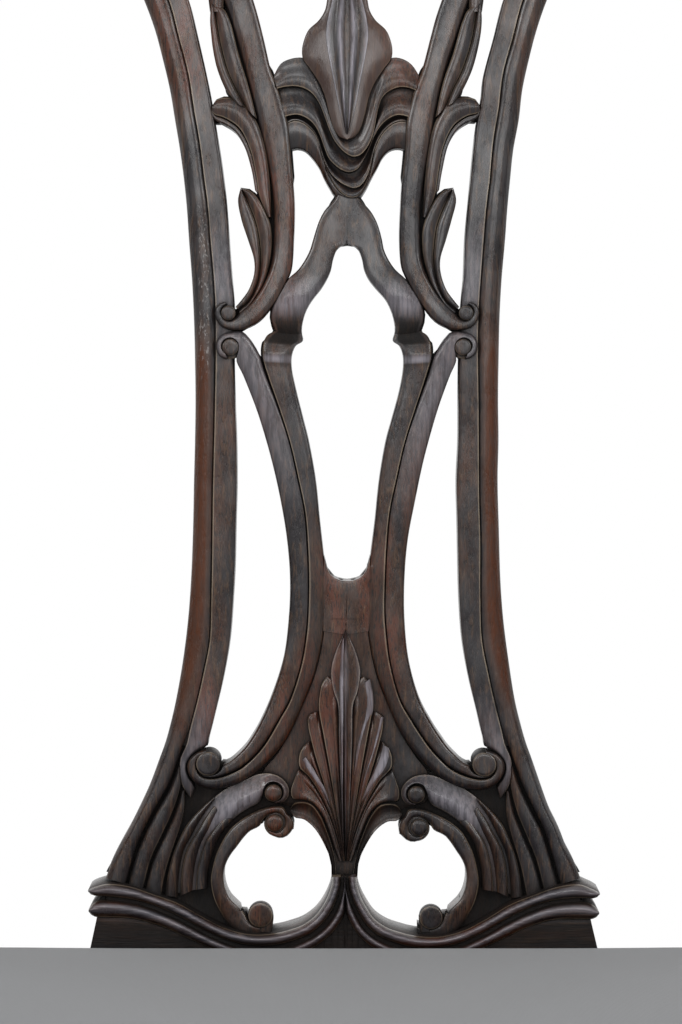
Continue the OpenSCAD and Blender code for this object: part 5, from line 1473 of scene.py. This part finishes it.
def cover_height(x, y):
    """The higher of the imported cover's top and the pad with the cloth on it."""
    found = [tree.ray_cast(Vector((x, y, ray_start)), Vector((0, 0, -1)))[0]
             for tree in (cover_tree, pad_tree)]
    top, pad = (0.0 if f is None else f.z for f in found)
    return max(top, pad + cloth_thick)


middle_xy = np.array(seat_middle[:2])
outward = np.array([(place - middle_xy) / np.linalg.norm(place - middle_xy) for place in seat_outline])
points = []
for t in list(np.linspace(0.02, 0.94, 34)) + [0.955, 0.968, 0.978, 0.986]:
    for place in middle_xy + (seat_outline - middle_xy) * t:
        points.append((place[0], place[1], cover_height(*place)))
rim_z = np.array([cover_height(*p) for p in middle_xy + (seat_outline - middle_xy) * rim_share])
for inset, drop in ((0.0022, 0.0004), (0.0011, 0.0011), (0.0004, 0.0022), (0, side_start)):
    for place, away, z in zip(seat_outline, outward, rim_z):
        points.append((*(place - away * inset), z - drop))
for share in np.linspace(0.15, 1, 10):
    for place, away, z in zip(seat_outline, outward, rim_z):
        gap = min([1] + [abs(place[0] - c[0]) for c in corners
                         if abs(place[1] - c[1]) < side_start and abs(place[0]) <= abs(c[0])])
        pleat = pleat_out if gap < pleat_wide and share > pleat_from else 0.0
        points.append((*(place + away * pleat), (z - side_start) * (1 - share) + foot_z * share))
seat_cloth = seat_piece("seat_cloth", points, tube_faces(len(points) // spokes, spokes, caps=1), grey_fabric,
                        "seat_cover")
print("cover triangles", triangle_count(seat_cloth))

# %% [markdown]
# A plain pale floor and soft lamps, as in a studio. The world is white where the camera, the polish or
# glass looks at it. The floor is a true surface near the chair, so that it keeps the chair's shadow, and
# fades to white further out.

# %% Floor, world and lamps
floor_mesh = bpy.data.meshes.new("floor")
floor_mesh.from_pydata([(-30, -30, 0), (30, -30, 0), (30, 30, 0), (-30, 30, 0)], [], [(0, 1, 2, 3)])
floor = bpy.data.objects.new("floor", floor_mesh)
bpy.context.collection.objects.link(floor)
paper = Finish("paper_floor")
spot = paper.node("ShaderNodeVectorMath", {"operation": "LENGTH"}, {0: paper.node("ShaderNodeNewGeometry")},
                  out=1)
far_off = paper.between(spot, 0.75, 1.25)
grain = paper.noise((1, 1, 1), size=40.0)
matt = paper.node("ShaderNodeBsdfDiffuse", {},
                  {"Color": paper.blend(grain, linear(236, 236, 236), linear(241, 241, 241))})
glow = paper.node("ShaderNodeEmission", {}, {"Color": (1, 1, 1, 1), "Strength": 1.0})
rays = paper.node("ShaderNodeLightPath", out=0)
seen = (rays + paper.node("ShaderNodeLightPath", out=3)).clamped()
surface = paper.node("ShaderNodeMixShader", {}, {0: far_off * seen, 1: matt, 2: glow})
paper.tree.links.new(surface.socket, paper.tree.nodes.new("ShaderNodeOutputMaterial").inputs["Surface"])
floor_mesh.materials.append(paper.material)

world = bpy.data.worlds.new("studio")
bpy.context.scene.world = world
world.use_nodes = True
sky = Finish("sky_recipe")
sky.tree = world.node_tree
sky.tree.nodes.clear()
seen = sum((sky.node("ShaderNodeLightPath", out=k) for k in (3, 6)),
           sky.node("ShaderNodeLightPath", out=0)).clamped()
glow = sky.node("ShaderNodeBackground", {}, {"Color": (1, 1, 1, 1), "Strength": 0.22 + 0.78 * seen})
sky.tree.links.new(glow.socket, sky.tree.nodes.new("ShaderNodeOutputWorld").inputs["Surface"])


def lamp(name, place, aim, size, power):
    light = bpy.data.lights.new(name, "AREA")
    light.shape, light.size, light.size_y, light.energy = "RECTANGLE", size[0], size[1], power
    holder = bpy.data.objects.new(name, light)
    holder.location = place
    holder.rotation_euler = (Vector(aim) - Vector(place)).to_track_quat("-Z", "Y").to_euler()
    bpy.context.collection.objects.link(holder)


lamp("front_lamp", (0.0, -2.7, 1.62), (0, 0.2, 0.8), (2.2, 0.5), 22.5)
lamp("left_lamp", (-1.6, -1.0, 1.9), (0, 0.1, 0.7), (0.5, 1.0), 20)
lamp("right_lamp", (1.7, -0.9, 1.7), (0, 0.1, 0.7), (0.5, 0.9), 15)
lamp("high_lamp", (-0.25, -1.6, 2.35), (0, 0.1, 0.6), (1.0, 0.4), 10.5)
